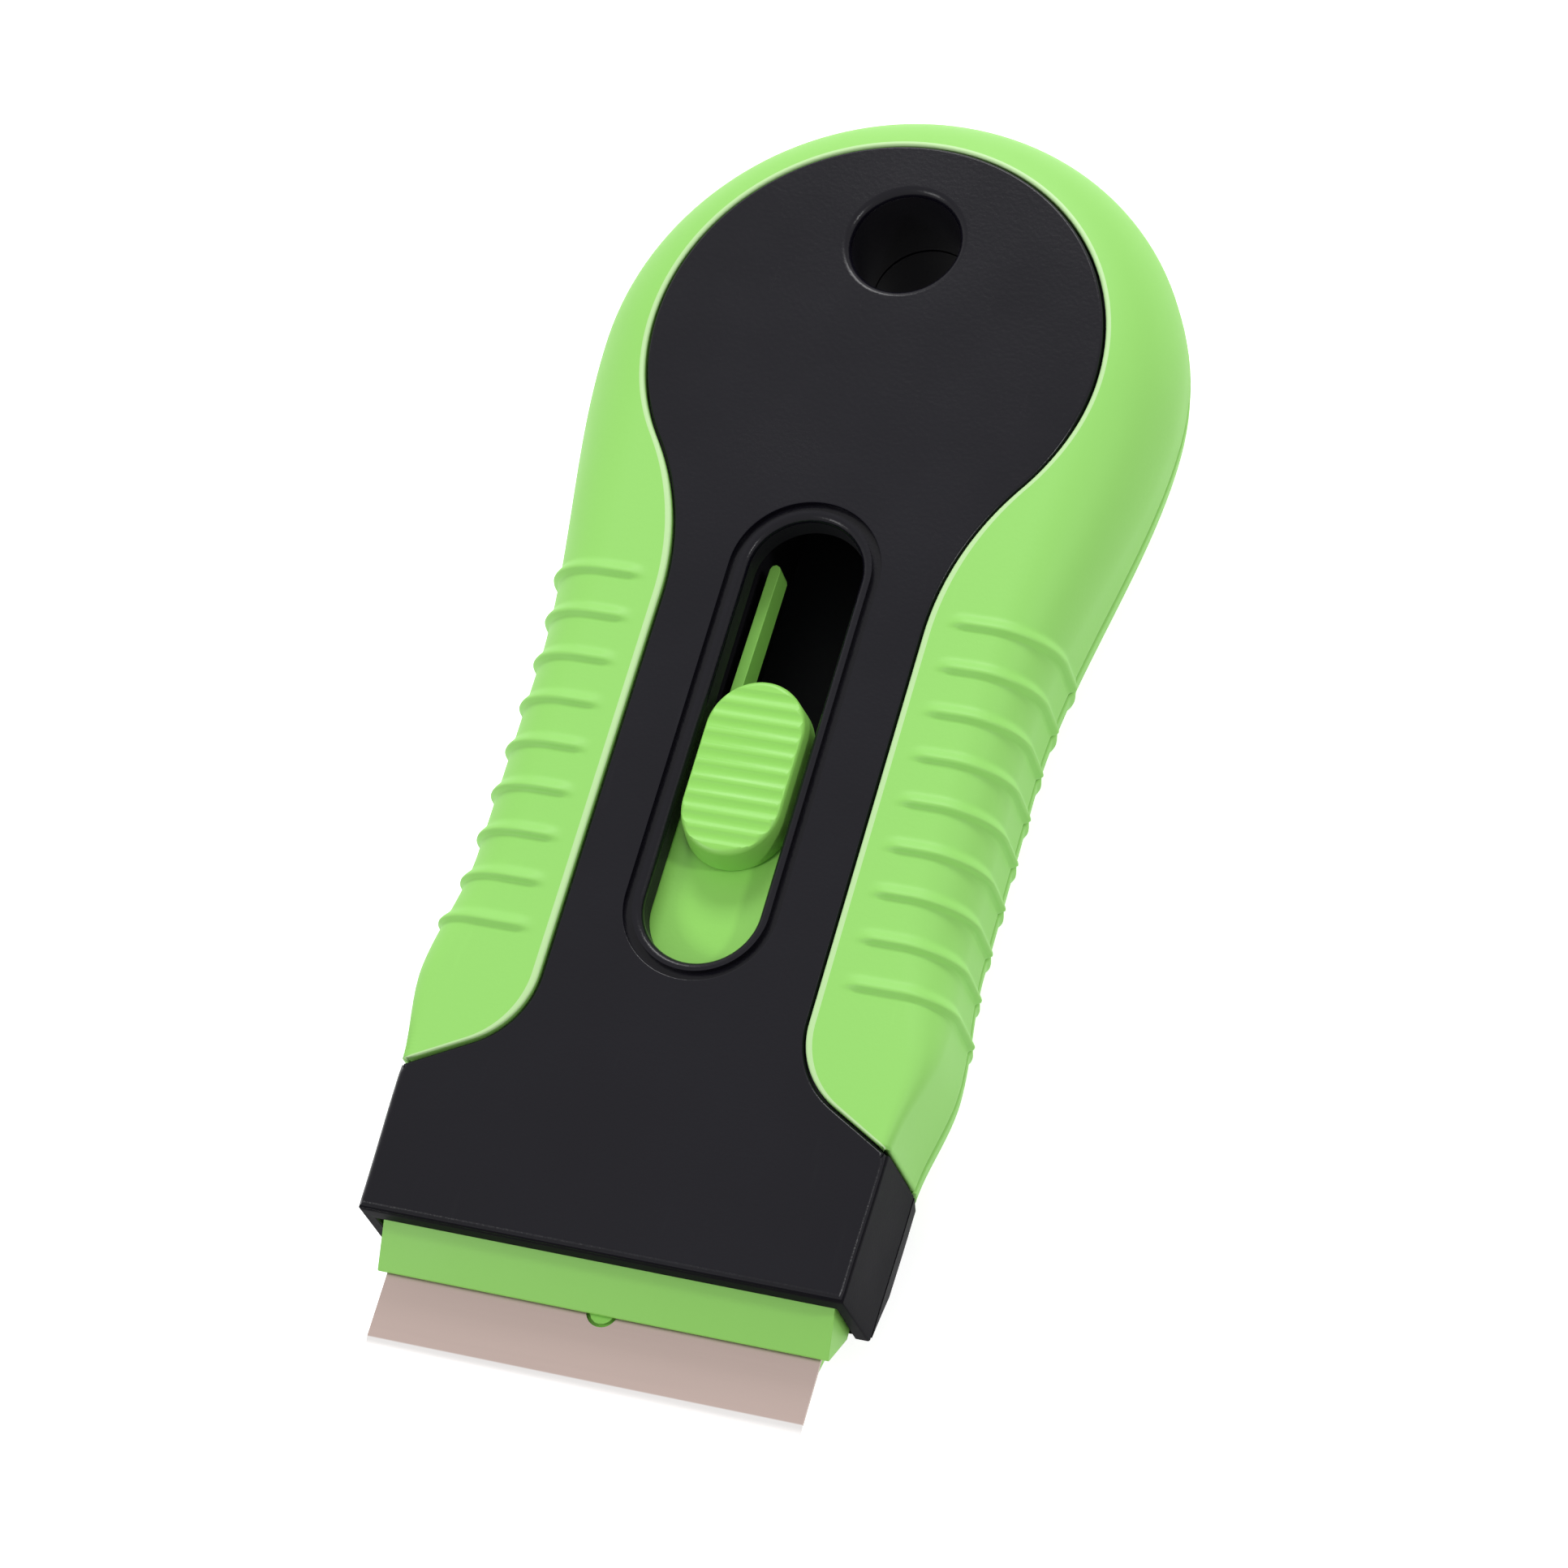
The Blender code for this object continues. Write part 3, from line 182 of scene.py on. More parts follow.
GROOVE_IN = 0.0061
GROOVE_OUT = 0.0069
GROOVE_DEPTH = 0.0006
HANG_AT = 0.0982
HANG_RADIUS = 0.0050
TUBE_WALL = 0.0015
SCREW_PLACES = ((0.0145, 0.034), (-0.0145, 0.034), (0.0, 0.086))
BOSS_RADIUS = 0.0030
GUIDE_AT = 0.0095
GUIDE_HALF = 0.0007
GUIDE_FROM = 0.0279
GUIDE_TO = 0.0712
GUIDE_HEIGHT = 0.0022
# A joined solid sinks into its neighbour by SINK, and a cutter reaches CLEAR past what it cuts.
# Points closer than MERGE are one point, and points within NEAR of a line lie on it.
SINK = 0.0008
CLEAR = 0.0020
MERGE = 2e-6
NEAR = 1e-4
LIP_ROUND = 0.00066
GROOVE_ROUND = 0.00014
HANG_ROUND = 0.00080
CORNER_ROUND = 0.00070
FACE_ROUND = 0.00030
MOUTH_ROUND = 0.00020
CORNER_BAND = 0.00062
PLAIN_FROM = 0.0095
OUTER_WALL = 0.0011
# Painted shade in the hollow starts this far under the face.
HOLLOW_SHADE_DEPTH = 0.0013


def ease(t):
    t = min(max(t, 0.0), 1.0)
    return t * t * (3.0 - 2.0 * t)


def half_width(at):
    """Half width of the handle at a distance behind the mouth."""
    marks = ((0.0, MOUTH_HALF), (FRONT_TO, FRONT_HALF), (SHOULDER_AT, SHOULDER_HALF), (WAIST_FROM, WAIST_HALF),
             (WAIST_TO, WAIST_HALF), (HEAD_AT, HEAD_RADIUS))
    for (near, wide), (far, next_wide) in zip(marks, marks[1:]):
        if at <= far:
            return wide + (next_wide - wide) * ease((at - near) / (far - near))
    return HEAD_RADIUS


def shoulder(at):
    """Radius of the rounded upper edge and lean of the flank: square in front, full behind."""
    front = ease((at - FRONT_TO) / (FRONT_ROUND_TO - FRONT_TO))
    back = ease((at - WAIST_TO) / (HEAD_AT - WAIST_TO))
    return (FRONT_ROUND + (WAIST_ROUND - FRONT_ROUND) * front + (HEAD_ROUND - WAIST_ROUND) * back,
            FRONT_LEAN * (1.0 - front))


def trace(bm, start, turns, z):
    """Draw half a plan outline as a wire: straight runs, arcs, and the handle's curved side."""
    tip = bm.verts.new((start[0], start[1] + MOUTH, z))
    for kind, *how in turns:
        if kind == "arc":
            centre = (how[0], how[1] + MOUTH, z)
            spun = bmesh.ops.spin(bm, geom=[tip], cent=centre, axis=(0.0, 0.0, 1.0),
                                  angle=math.radians(how[2]), steps=how[3], use_duplicate=False)
            tip = [part for part in spun["geom_last"] if isinstance(part, bmesh.types.BMVert)][0]
        elif kind == "to":
            tip = bmesh.ops.extrude_vert_indiv(bm, verts=[tip])["verts"][0]
            tip.co = (how[0], how[1] + MOUTH, z)
        else:
            first = tip.co.y - MOUTH
            for i in range(1, how[1] + 1):
                at = first + (how[0] - first) * i / how[1]
                tip = bmesh.ops.extrude_vert_indiv(bm, verts=[tip])["verts"][0]
                tip.co = (half_width(at) - how[2], at + MOUTH, z)


def slab(name, start, turns, low, high):
    """A flat-sided solid whose plan is mirrored about the middle of the handle."""
    bm = bmesh.new()
    trace(bm, start, turns, low)
    bmesh.ops.mirror(bm, geom=bm.verts[:] + bm.edges[:], axis="X", merge_dist=MERGE, matrix=Matrix.Identity(4))
    bmesh.ops.edgeloop_fill(bm, edges=bm.edges[:])
    raised = bmesh.ops.extrude_face_region(bm, geom=bm.faces[:])
    bmesh.ops.translate(bm, vec=(0.0, 0.0, high - low),
                        verts=[part for part in raised["geom"] if isinstance(part, bmesh.types.BMVert)])
    return keep_mesh(name, bm)


def loft(name, start, turns, levels, section):
    """A solid pulled up from its plan through levels; section gives the inset and height of each."""
    bm = bmesh.new()
    trace(bm, start, turns, 0.0)
    bmesh.ops.mirror(bm, geom=bm.verts[:] + bm.edges[:], axis="X", merge_dist=MERGE, matrix=Matrix.Identity(4))
    bmesh.ops.edgeloop_fill(bm, edges=bm.edges[:])
    floor = bm.faces[:]
    top = floor
    for _ in range(levels - 1):
        raised = bmesh.ops.extrude_face_region(bm, geom=top)["geom"]
        if top is not floor:
            bmesh.ops.delete(bm, geom=top, context="FACES_ONLY")
        bmesh.ops.translate(bm, vec=(0.0, 0.0, 1.0),
                            verts=[part for part in raised if isinstance(part, bmesh.types.BMVert)])
        top = [part for part in raised if isinstance(part, bmesh.types.BMFace)]
    for vert in bm.verts:
        at = vert.co.y - MOUTH
        inset, z = section(min(at, HEAD_AT), round(vert.co.z))
        if at > HEAD_AT:
            keep = 1.0 - inset / math.hypot(vert.co.x, at - HEAD_AT)
            vert.co = (vert.co.x * keep, MOUTH + HEAD_AT + (at - HEAD_AT) * keep, z)
        else:
            vert.co = (math.copysign(abs(vert.co.x) - min(inset, abs(vert.co.x)), vert.co.x), vert.co.y, z)
    bmesh.ops.connect_verts_nonplanar(bm, angle_limit=0.0002, faces=bm.faces)
    return keep_mesh(name, bm)


def keep_mesh(name, bm):
    bmesh.ops.recalc_face_normals(bm, faces=bm.faces)
    mesh = bpy.data.meshes.new(name)
    bm.to_mesh(mesh)
    bm.free()
    piece = bpy.data.objects.new(name, mesh)
    bpy.context.scene.collection.objects.link(piece)
    return piece


def soften(piece, picked, width, segments):
    """Round the edges of a piece whose two ends pass the given test."""
    bm = bmesh.new()
    bm.from_mesh(piece.data)
    chosen = [edge for edge in bm.edges if picked(edge.verts[0].co) and picked(edge.verts[1].co)
              and len(edge.link_faces) == 2 and edge.calc_face_angle(0.0) > 0.3]
    bmesh.ops.bevel(bm, geom=chosen, offset=width, offset_type="OFFSET", segments=segments, profile=0.5,
                    affect="EDGES", material=-1, clamp_overlap=False)
    bm.to_mesh(piece.data)
    bm.free()


def settle(bm):
    """Put the parts of a mesh in an order that depends only on where they lie."""
    slant = Vector((0.7549, 0.5698, 0.3247))
    bm.verts.sort(key=lambda vert: vert.co.dot(slant))
    bm.edges.sort(key=lambda edge: (edge.verts[0].co + edge.verts[1].co).dot(slant))
    bm.faces.sort(key=lambda face: face.calc_center_median().dot(slant))


def merge_tools(piece, *steps):
    """Cut or join other solids into a piece, one after the other, and remove them."""
    for operation, tool in steps:
        modifier = piece.modifiers.new(tool.name, "BOOLEAN")
        modifier.operation = operation
        modifier.object = tool
        bpy.context.view_layer.update()
        graph = bpy.context.evaluated_depsgraph_get()
        mesh = bpy.data.meshes.new_from_object(piece.evaluated_get(graph), depsgraph=graph)
        piece.modifiers.clear()
        piece.data = mesh
        bpy.data.objects.remove(tool)
    bm = bmesh.new()
    bm.from_mesh(piece.data)
    settle(bm)
    bmesh.ops.remove_doubles(bm, verts=bm.verts, dist=MERGE)
    bmesh.ops.dissolve_limit(bm, angle_limit=0.002, verts=bm.verts, edges=bm.edges)
    settle(bm)
    bm.to_mesh(piece.data)
    bm.free()
    piece.data.name = piece.name


def shade(piece, degrees=35.0):
    """Smooth shading that stays flat on flat faces."""
    piece.data.shade_smooth()
    piece.data.set_sharp_from_angle(angle=math.radians(degrees))
    weights = piece.modifiers.new("flat_faces", "WEIGHTED_NORMAL")
    weights.keep_sharp = True
    weights.weight = 80


def face_turns(spare=0.0):
    """Plan of the black face: full width and spare in front, a narrow waist, a round head."""
    neck_x = FACE_WAIST + NECK_RADIUS
    reach = math.sqrt((FACE_HEAD + NECK_RADIUS) ** 2 - neck_x ** 2)
    tangent = math.degrees(math.atan2(reach, neck_x))
    flare = (FACE_WAIST + FLARE_RADIUS, FLARE_AT + FLARE_RADIUS)
    bend, edge_at = border_bend(0.0)
    return [("to", half_width(0.0) + spare, 0.0), ("side", edge_at, 14, -spare), ("to", FLARE_EDGE, edge_at),
            ("to", *bend),
            ("arc", *flare, -FLARE_TURN, 18), ("to", FACE_WAIST, FACE_HEAD_AT - reach),
            ("arc", neck_x, FACE_HEAD_AT - reach, -tangent, 26), ("arc", 0.0, FACE_HEAD_AT, 90.0 + tangent, 64)]


def border_bend(grow):
    """Where the border leaves the flare's arc for a straight run, and where that meets the side."""
    angle = math.radians(FLARE_TURN - 180.0)
    bend = (FACE_WAIST + FLARE_RADIUS + (FLARE_RADIUS - grow) * math.cos(angle),
            FLARE_AT + FLARE_RADIUS + (FLARE_RADIUS - grow) * math.sin(angle))
    return bend, bend[1] - (FLARE_EDGE - bend[0]) / math.tan(math.radians(FLARE_TURN))


def body_turns(inset, front):
    return [("to", half_width(front) - inset, front), ("side", WAIST_FROM, 26, inset),
            ("to", WAIST_HALF - inset, WAIST_TO), ("side", HEAD_AT, 30, inset), ("arc", 0.0, HEAD_AT, 90.0, 48)]


def hollow_turns(front):
    return [("to", CAVITY_HALF, front), ("to", CAVITY_HALF, CAVITY_PLAIN_TO),
            ("side", WAIST_FROM, 8, CAVITY_INSET), ("to", WAIST_HALF - CAVITY_INSET, WAIST_TO),
            ("side", HEAD_AT, 24, CAVITY_INSET), ("arc", 0.0, HEAD_AT, 90.0, 40)]


def slot_turns(half):
    return [("arc", 0.0, SLOT_FRONT, 90.0, 24), ("to", half, SLOT_FRONT + SLOT_RUN),
            ("arc", 0.0, SLOT_FRONT + SLOT_RUN, 90.0, 24)]


def slot_slab(name, half, low, high):
    return slab(name, (0.0, SLOT_FRONT - half), slot_turns(half), low, high)


def posts(name, places, radius, low, high, segments=48):
    bm = bmesh.new()
    for x, at in places:
        post = bmesh.ops.create_cone(bm, cap_ends=True, segments=segments, radius1=radius, radius2=radius,
                                     depth=high - low)
        bmesh.ops.translate(bm, vec=(x, at + MOUTH, (low + high) / 2), verts=post["verts"])
    return keep_mesh(name, bm)


def boxes(name, corners):
    """Blocks given by their lowest and highest corners, with Y measured from the mouth."""
    bm = bmesh.new()
    for low, high in corners:
        block = bmesh.ops.create_cube(bm, size=1.0)
        bmesh.ops.scale(bm, vec=[b - a for a, b in zip(low, high)], verts=block["verts"])
        middle = [(a + b) / 2 for a, b in zip(low, high)]
        bmesh.ops.translate(bm, vec=(middle[0], middle[1] + MOUTH, middle[2]), verts=block["verts"])
    return keep_mesh(name, bm)


def slot_distance(co):
    """Distance in plan from the slot's centre line."""
    at = min(max(co.y - MOUTH, SLOT_FRONT), SLOT_FRONT + SLOT_RUN)
    return math.hypot(co.x, co.y - MOUTH - at)


def hang_distance(co):
    return math.hypot(co.x, co.y - MOUTH - HANG_AT)


def on_face(co):
    return co.z > FACE_TOP - 1e-5


def core_section(at, k):
    """The black core under the soft grip, parallel to the grip's skin."""
    radius, lean = shoulder(at)
    radius = max(radius - CORE_INSET, CORE_ROUND_MIN)
    turned = (k - 1) / 5 * math.pi / 2
    z = SKIN_TOP - CORE_INSET - radius * (1.0 - math.sin(turned))
    return (radius * (1.0 - math.cos(turned)) + lean * (z - SEAM), z) if k else (0.0, PARTING)


def hollow_section(at, k):
    """The hollow: straight walls for the carrier in front, walls parallel to the skin behind."""
    z = (PARTING - CAVITY_DROP, SEAM, (SEAM + CAVITY_TOP) / 2, CAVITY_TOP)[k]
    radius, lean = shoulder(at)
    rise = max(z - SKIN_TOP + radius, 0.0)
    inset = radius - math.sqrt(radius ** 2 - rise ** 2) + lean * max(z - SEAM, 0.0)
    return (inset if at > CAVITY_PLAIN_TO + NEAR else 0.0), z


top_shell = slab("top_shell_moulding", (0.0, 0.0), face_turns(), PARTING, FACE_TOP)
for vert in top_shell.data.vertices:
    if vert.co.y < MOUTH + FRONT_LEAN_TO:
        limit = half_width(vert.co.y - MOUTH) - FRONT_LEAN * (vert.co.z - SEAM)
        vert.co.x = math.copysign(min(abs(vert.co.x), limit), vert.co.x)
core = loft("core", (0.0, CLEAR), body_turns(CORE_INSET, CLEAR), 7, core_section)
hollow = loft("hollow", (0.0, -CLEAR), hollow_turns(-CLEAR), 4, hollow_section)
bosses = posts("bosses", SCREW_PLACES, BOSS_RADIUS, PARTING, CAVITY_TOP + SINK)
tube = posts("tube", ((0.0, HANG_AT),), HANG_RADIUS + TUBE_WALL, PARTING, CAVITY_TOP + SINK)
guides = boxes("guides", [((side - GUIDE_HALF, GUIDE_FROM, CAVITY_TOP - GUIDE_HEIGHT),
                           (side + GUIDE_HALF, GUIDE_TO, CAVITY_TOP + SINK)) for side in (GUIDE_AT, -GUIDE_AT)])
ring = slot_slab("ring", GROOVE_OUT, FACE_TOP - GROOVE_DEPTH, FACE_TOP + CLEAR)
merge_tools(ring, ("DIFFERENCE", slot_slab("plug", GROOVE_IN, FACE_TOP - 2 * CLEAR, FACE_TOP + 2 * CLEAR)))
merge_tools(top_shell, ("UNION", core), ("DIFFERENCE", hollow), ("UNION", bosses), ("UNION", tube),
            ("UNION", guides), ("DIFFERENCE", ring),
            ("DIFFERENCE", slot_slab("slot", SLOT_HALF, CAVITY_TOP - CLEAR, FACE_TOP + CLEAR)),
            ("DIFFERENCE", posts("hang", ((0.0, HANG_AT),), HANG_RADIUS, PARTING - CLEAR, FACE_TOP + CLEAR, 96)))
soften(top_shell, lambda co: on_face(co) and abs(slot_distance(co) - SLOT_HALF) < NEAR, LIP_ROUND, 6)
soften(top_shell, lambda co: on_face(co) and abs(slot_distance(co) - GROOVE_OUT) < NEAR, GROOVE_ROUND, 2)
soften(top_shell, lambda co: on_face(co) and hang_distance(co) < HANG_RADIUS + NEAR, HANG_ROUND, 6)
soften(top_shell, lambda co: on_face(co) and FRONT_HALF - abs(co.x) < CORNER_BAND and co.y < MOUTH + FLARE_AT,
       CORNER_ROUND, 5)
soften(top_shell, lambda co: on_face(co) and slot_distance(co) > PLAIN_FROM
       and hang_distance(co) > HANG_RADIUS + CLEAR, FACE_ROUND, 3)
soften(top_shell, lambda co: co.y < MOUTH + 1e-5, MOUTH_ROUND, 2)
shade(top_shell)


def moulding_grain():
    """Fine grain, broad unevenness and faint scuffs of a moulded plastic surface."""
    group = bpy.data.node_groups.new("moulding_grain", "ShaderNodeTree")
    face = group.interface
    face.new_socket("Grain Scale", in_out="INPUT", socket_type="NodeSocketFloat")
    face.new_socket("Patch Scale", in_out="INPUT", socket_type="NodeSocketFloat")
    face.new_socket("Scuff Amount", in_out="INPUT", socket_type="NodeSocketFloat")
    face.new_socket("Height", in_out="OUTPUT", socket_type="NodeSocketFloat")
    face.new_socket("Patches", in_out="OUTPUT", socket_type="NodeSocketFloat")
    face.new_socket("Scuffs", in_out="OUTPUT", socket_type="NodeSocketFloat")
    nodes = group.nodes
    links = group.links
    come = nodes.new("NodeGroupInput")
    go = nodes.new("NodeGroupOutput")
    place = nodes.new("ShaderNodeTexCoord")
    grain = nodes.new("ShaderNodeTexNoise")
    grain.inputs["Detail"].default_value = 3.0
    grain.inputs["Roughness"].default_value = 0.6
    links.new(place.outputs["Object"], grain.inputs["Vector"])
    links.new(come.outputs["Grain Scale"], grain.inputs["Scale"])
    links.new(grain.outputs["Fac"], go.inputs["Height"])
    patches = nodes.new("ShaderNodeTexNoise")
    patches.inputs["Detail"].default_value = 4.0
    links.new(place.outputs["Object"], patches.inputs["Vector"])
    links.new(come.outputs["Patch Scale"], patches.inputs["Scale"])
    links.new(patches.outputs["Fac"], go.inputs["Patches"])
    stretch = nodes.new("ShaderNodeMapping")
    stretch.inputs["Scale"].default_value = (900.0, 90.0, 600.0)
    stretch.inputs["Rotation"].default_value = (0.0, 0.0, 0.35)
    links.new(place.outputs["Object"], stretch.inputs["Vector"])
    lines = nodes.new("ShaderNodeTexNoise")
    lines.inputs["Scale"].default_value = 1.0
    lines.inputs["Detail"].default_value = 2.0
    links.new(stretch.outputs["Vector"], lines.inputs["Vector"])
    cut = nodes.new("ShaderNodeMapRange")
    cut.inputs["From Min"].default_value = 0.68
    cut.inputs["From Max"].default_value = 0.80
    links.new(lines.outputs["Fac"], cut.inputs["Value"])
    amount = nodes.new("ShaderNodeMath")
    amount.operation = "MULTIPLY"
    links.new(cut.outputs["Result"], amount.inputs[0])
    links.new(come.outputs["Scuff Amount"], amount.inputs[1])
    links.new(amount.outputs[0], go.inputs["Scuffs"])
    return group


GRAIN = moulding_grain()


def plastic(name, colour, worn, rough, bump, grain_scale, scuffs, gloss=0.5):
    """A moulded plastic: colour drifts a little, grain breaks up the sheen, scuffs are duller."""
    material = bpy.data.materials.new(name)
    material.use_nodes = True
    nodes = material.node_tree.nodes
    links = material.node_tree.links
    shader = nodes["Principled BSDF"]
    shader.inputs["Specular IOR Level"].default_value = gloss
    grain = nodes.new("ShaderNodeGroup")
    grain.node_tree = GRAIN
    grain.inputs["Grain Scale"].default_value = grain_scale
    grain.inputs["Patch Scale"].default_value = 70.0
    grain.inputs["Scuff Amount"].default_value = scuffs
    drift = nodes.new("ShaderNodeMix")
    drift.data_type = "RGBA"
    drift.inputs["A"].default_value = (*colour, 1.0)
    drift.inputs["B"].default_value = (*worn, 1.0)
    links.new(grain.outputs["Patches"], drift.inputs["Factor"])
    scuffed = nodes.new("ShaderNodeMix")
    scuffed.data_type = "RGBA"
    scuffed.inputs["B"].default_value = (*[min(1.0, c * 1.25 + 0.02) for c in worn], 1.0)
    links.new(grain.outputs["Scuffs"], scuffed.inputs["Factor"])
    links.new(drift.outputs["Result"], scuffed.inputs["A"])
    links.new(scuffed.outputs["Result"], shader.inputs["Base Color"])
    sheen = nodes.new("ShaderNodeMapRange")
    sheen.inputs["From Min"].default_value = 0.3
    sheen.inputs["From Max"].default_value = 0.7
    sheen.inputs["To Min"].default_value = rough[0]
    sheen.inputs["To Max"].default_value = rough[1]
    links.new(grain.outputs["Patches"], sheen.inputs["Value"])
    links.new(sheen.outputs["Result"], shader.inputs["Roughness"])
    relief = nodes.new("ShaderNodeBump")
    relief.inputs["Strength"].default_value = bump
    relief.inputs["Distance"].default_value = 0.0002
    links.new(grain.outputs["Height"], relief.inputs["Height"])
    links.new(relief.outputs["Normal"], shader.inputs["Normal"])
    return material


def paint_black(piece, low, high):
    """Satin black outside; in the hollow between two heights a copy with less sheen as painted shade; on the
    outer side walls, the front faces and the hang hole's wall a copy with almost no sheen as painted shade, in
    place of their reflection of the table.
    """
    piece.data.materials.clear()
    piece.data.materials.append(black_plastic)
    piece.data.materials.append(inner_shaded_black)
    piece.data.materials.append(flank_painted_shade_black)
    for face in piece.data.polygons:
        at = face.center.y - MOUTH
        wall = HEAD_RADIUS - math.hypot(face.center.x, at - HEAD_AT) if at > HEAD_AT \
            else half_width(at) - abs(face.center.x)
        # Faces in the hollow get painted shade; outer side walls, front faces and the hang hole's wall get the
        # darkest painted shade.
        hollow_shade = wall > OUTER_WALL and at > OUTER_WALL and low < face.center.z < high
        flank = wall < OUTER_WALL and abs(face.normal.x) > 0.8 or at < OUTER_WALL and face.normal.y < -0.8
        hang_wall_shade = hollow_shade and hang_distance(face.center) < HANG_RADIUS + NEAR
        face.material_index = 2 if flank or hang_wall_shade else 1 if hollow_shade else 0


black_plastic = plastic("satin_black", (0.0037, 0.0032, 0.0066), (0.0056, 0.0050, 0.0090), (0.21, 0.28), 0.10,
                        2600.0, 0.10, 0.21)
# Two copies of the same black with less sheen, used as painted shade: one for the hollow, one for the outer
# walls, front faces and hang hole.
inner_shaded_black = plastic("hollow_painted_shade_black", (0.0110, 0.0105, 0.0130), (0.0140, 0.0135, 0.0165), (0.50, 0.60), 0.05,
                      2600.0, 0.0, 0.10)
flank_painted_shade_black = plastic("flank_painted_shade_black", (0.0060, 0.0056, 0.0078), (0.0080, 0.0075, 0.0100), (0.50, 0.60), 0.05,
                      2600.0, 0.0, 0.025)
paint_black(top_shell, SEAM, FACE_TOP - HOLLOW_SHADE_DEPTH)
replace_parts(top_shell, "top_shell")
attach(top_shell, "handle")

# The lower half of the handle: the same black plastic, with a sloping chin under the mouth,
# two long rails that the carrier runs on, and wells for the three case screws.
UNDER_PARTING = 0.00685
FLOOR = 0.0028
CHIN_SLOPE = 35.0
WELL_RADIUS = 0.0029
WELL_DEPTH = 0.0026
WELL_BOSS = 0.0037
SHANK_RADIUS = 0.0014
UNDER_DRAFT = 0.18
UNDER_ROUND = 0.0050
EDGE_ROUND = 0.0035
HOLLOW_ROUND = 0.0024
CORE_FLOOR = 0.0016
CHIN_AT = 0.0005
POCKET_FRONT = 0.0025
POCKET_RUN = 0.0060
POCKET_SIDE = 0.0026
ROOT = 0.0022
INNER_RAIL = (0.0054, 0.0072)
OUTER_RAIL = (0.0158, 0.0172)
LOW_RAIL_TO = CAVITY_PLAIN_TO
LOW_RAIL_TOP = 0.0078
TALL_RAIL = (0.0059, 0.0072)
TALL_RAIL_FROM = 0.0274
TALL_RAIL_TO = 0.0820
TALL_RAIL_TOP = 0.0117
SPARE = 0.0010
HAIR = 0.00003
UNDER_HANG_ROUND = 0.00060
FLOOR_SKIN = 0.0007


def wedge(name, profile, half):
    """A block with the given side view, pulled across the whole handle."""
    bm = bmesh.new()
    corners = [bm.verts.new((-half, at + MOUTH, z)) for at, z in profile]
    bm.faces.new(corners)
    pulled = bmesh.ops.extrude_face_region(bm, geom=bm.faces[:])
    bmesh.ops.translate(bm, vec=(2 * half, 0.0, 0.0),
                        verts=[part for part in pulled["geom"] if isinstance(part, bmesh.types.BMVert)])
    return keep_mesh(name, bm)


def under_section(k, low, edge, high):
    """A section under the seam: it narrows downwards and ends in a rounded edge."""
    if k == 6:
        return UNDER_DRAFT * (SEAM - high), high
    angle = math.radians(90.0 * k / 5)
    z = low + edge * (1.0 - math.cos(angle))
    return edge * (1.0 - math.sin(angle)) + UNDER_DRAFT * (SEAM - z), z


def rail_blocks(across, front, back, top):
    """One rail on each side of the middle, standing on the floor."""
    return [((low, front, ROOT), (high, back, top)) for low, high in (across, (-across[1], -across[0]))]


bottom_shell = slab("bottom_shell_moulding", (0.0, 0.0), face_turns(SPARE), 0.0, UNDER_PARTING)
core = loft("core", (0.0, CLEAR), body_turns(CORE_INSET, CLEAR), 7,
            lambda at, k: under_section(k, CORE_FLOOR, UNDER_ROUND - CORE_INSET, UNDER_PARTING))
skin = loft("skin", (0.0, -2 * CLEAR), body_turns(-HAIR, -2 * CLEAR), 7,
            lambda at, k: under_section(k, -HAIR, EDGE_ROUND, UNDER_PARTING + CLEAR))
chin_run = 1.0 / math.tan(math.radians(CHIN_SLOPE))
foot = POCKET_FRONT + (UNDER_PARTING - FLOOR) * chin_run
hollow = loft("hollow", (0.0, foot + CLEAR), hollow_turns(foot + CLEAR), 7,
              lambda at, k: under_section(k, FLOOR, HOLLOW_ROUND, UNDER_PARTING + CLEAR))
over = UNDER_PARTING + CLEAR
pocket = wedge("pocket", [(POCKET_FRONT, over), (POCKET_FRONT, UNDER_PARTING), (foot, FLOOR),
                          (foot + POCKET_RUN, FLOOR), (foot + POCKET_RUN, over)], CAVITY_HALF - POCKET_SIDE)
rails = boxes("rails", rail_blocks(INNER_RAIL, foot, LOW_RAIL_TO, LOW_RAIL_TOP)
              + rail_blocks(OUTER_RAIL, foot, LOW_RAIL_TO, LOW_RAIL_TOP))
tall_rails = boxes("tall_rails", rail_blocks(TALL_RAIL, TALL_RAIL_FROM, TALL_RAIL_TO, TALL_RAIL_TOP))
bosses = posts("bosses", SCREW_PLACES, WELL_BOSS, ROOT, UNDER_PARTING)
tube = posts("tube", ((0.0, HANG_AT),), HANG_RADIUS + TUBE_WALL, ROOT, UNDER_PARTING)
chin = wedge("chin", [(CHIN_AT - CLEAR * chin_run, over), (CHIN_AT + over * chin_run, -CLEAR),
                      (-5 * CLEAR, -CLEAR), (-5 * CLEAR, over)], HEAD_RADIUS)
merge_tools(bottom_shell, ("UNION", core), ("INTERSECT", skin), ("DIFFERENCE", hollow), ("DIFFERENCE", pocket),
            ("DIFFERENCE", chin), ("UNION", rails), ("UNION", tall_rails), ("UNION", bosses), ("UNION", tube),
            ("DIFFERENCE", posts("wells", SCREW_PLACES, WELL_RADIUS, -CLEAR, WELL_DEPTH)),
            ("DIFFERENCE", posts("shanks", SCREW_PLACES, SHANK_RADIUS, ROOT, over, 24)),
            ("DIFFERENCE", posts("hang", ((0.0, HANG_AT),), HANG_RADIUS, -CLEAR, over, 96)))
soften(bottom_shell, lambda co: co.z < 1e-5 and hang_distance(co) < HANG_RADIUS + NEAR, UNDER_HANG_ROUND, 6)
shade(bottom_shell)
paint_black(bottom_shell, FLOOR - FLOOR_SKIN, CAVITY_TOP)
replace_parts(bottom_shell, "bottom_shell")
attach(bottom_shell, "handle")

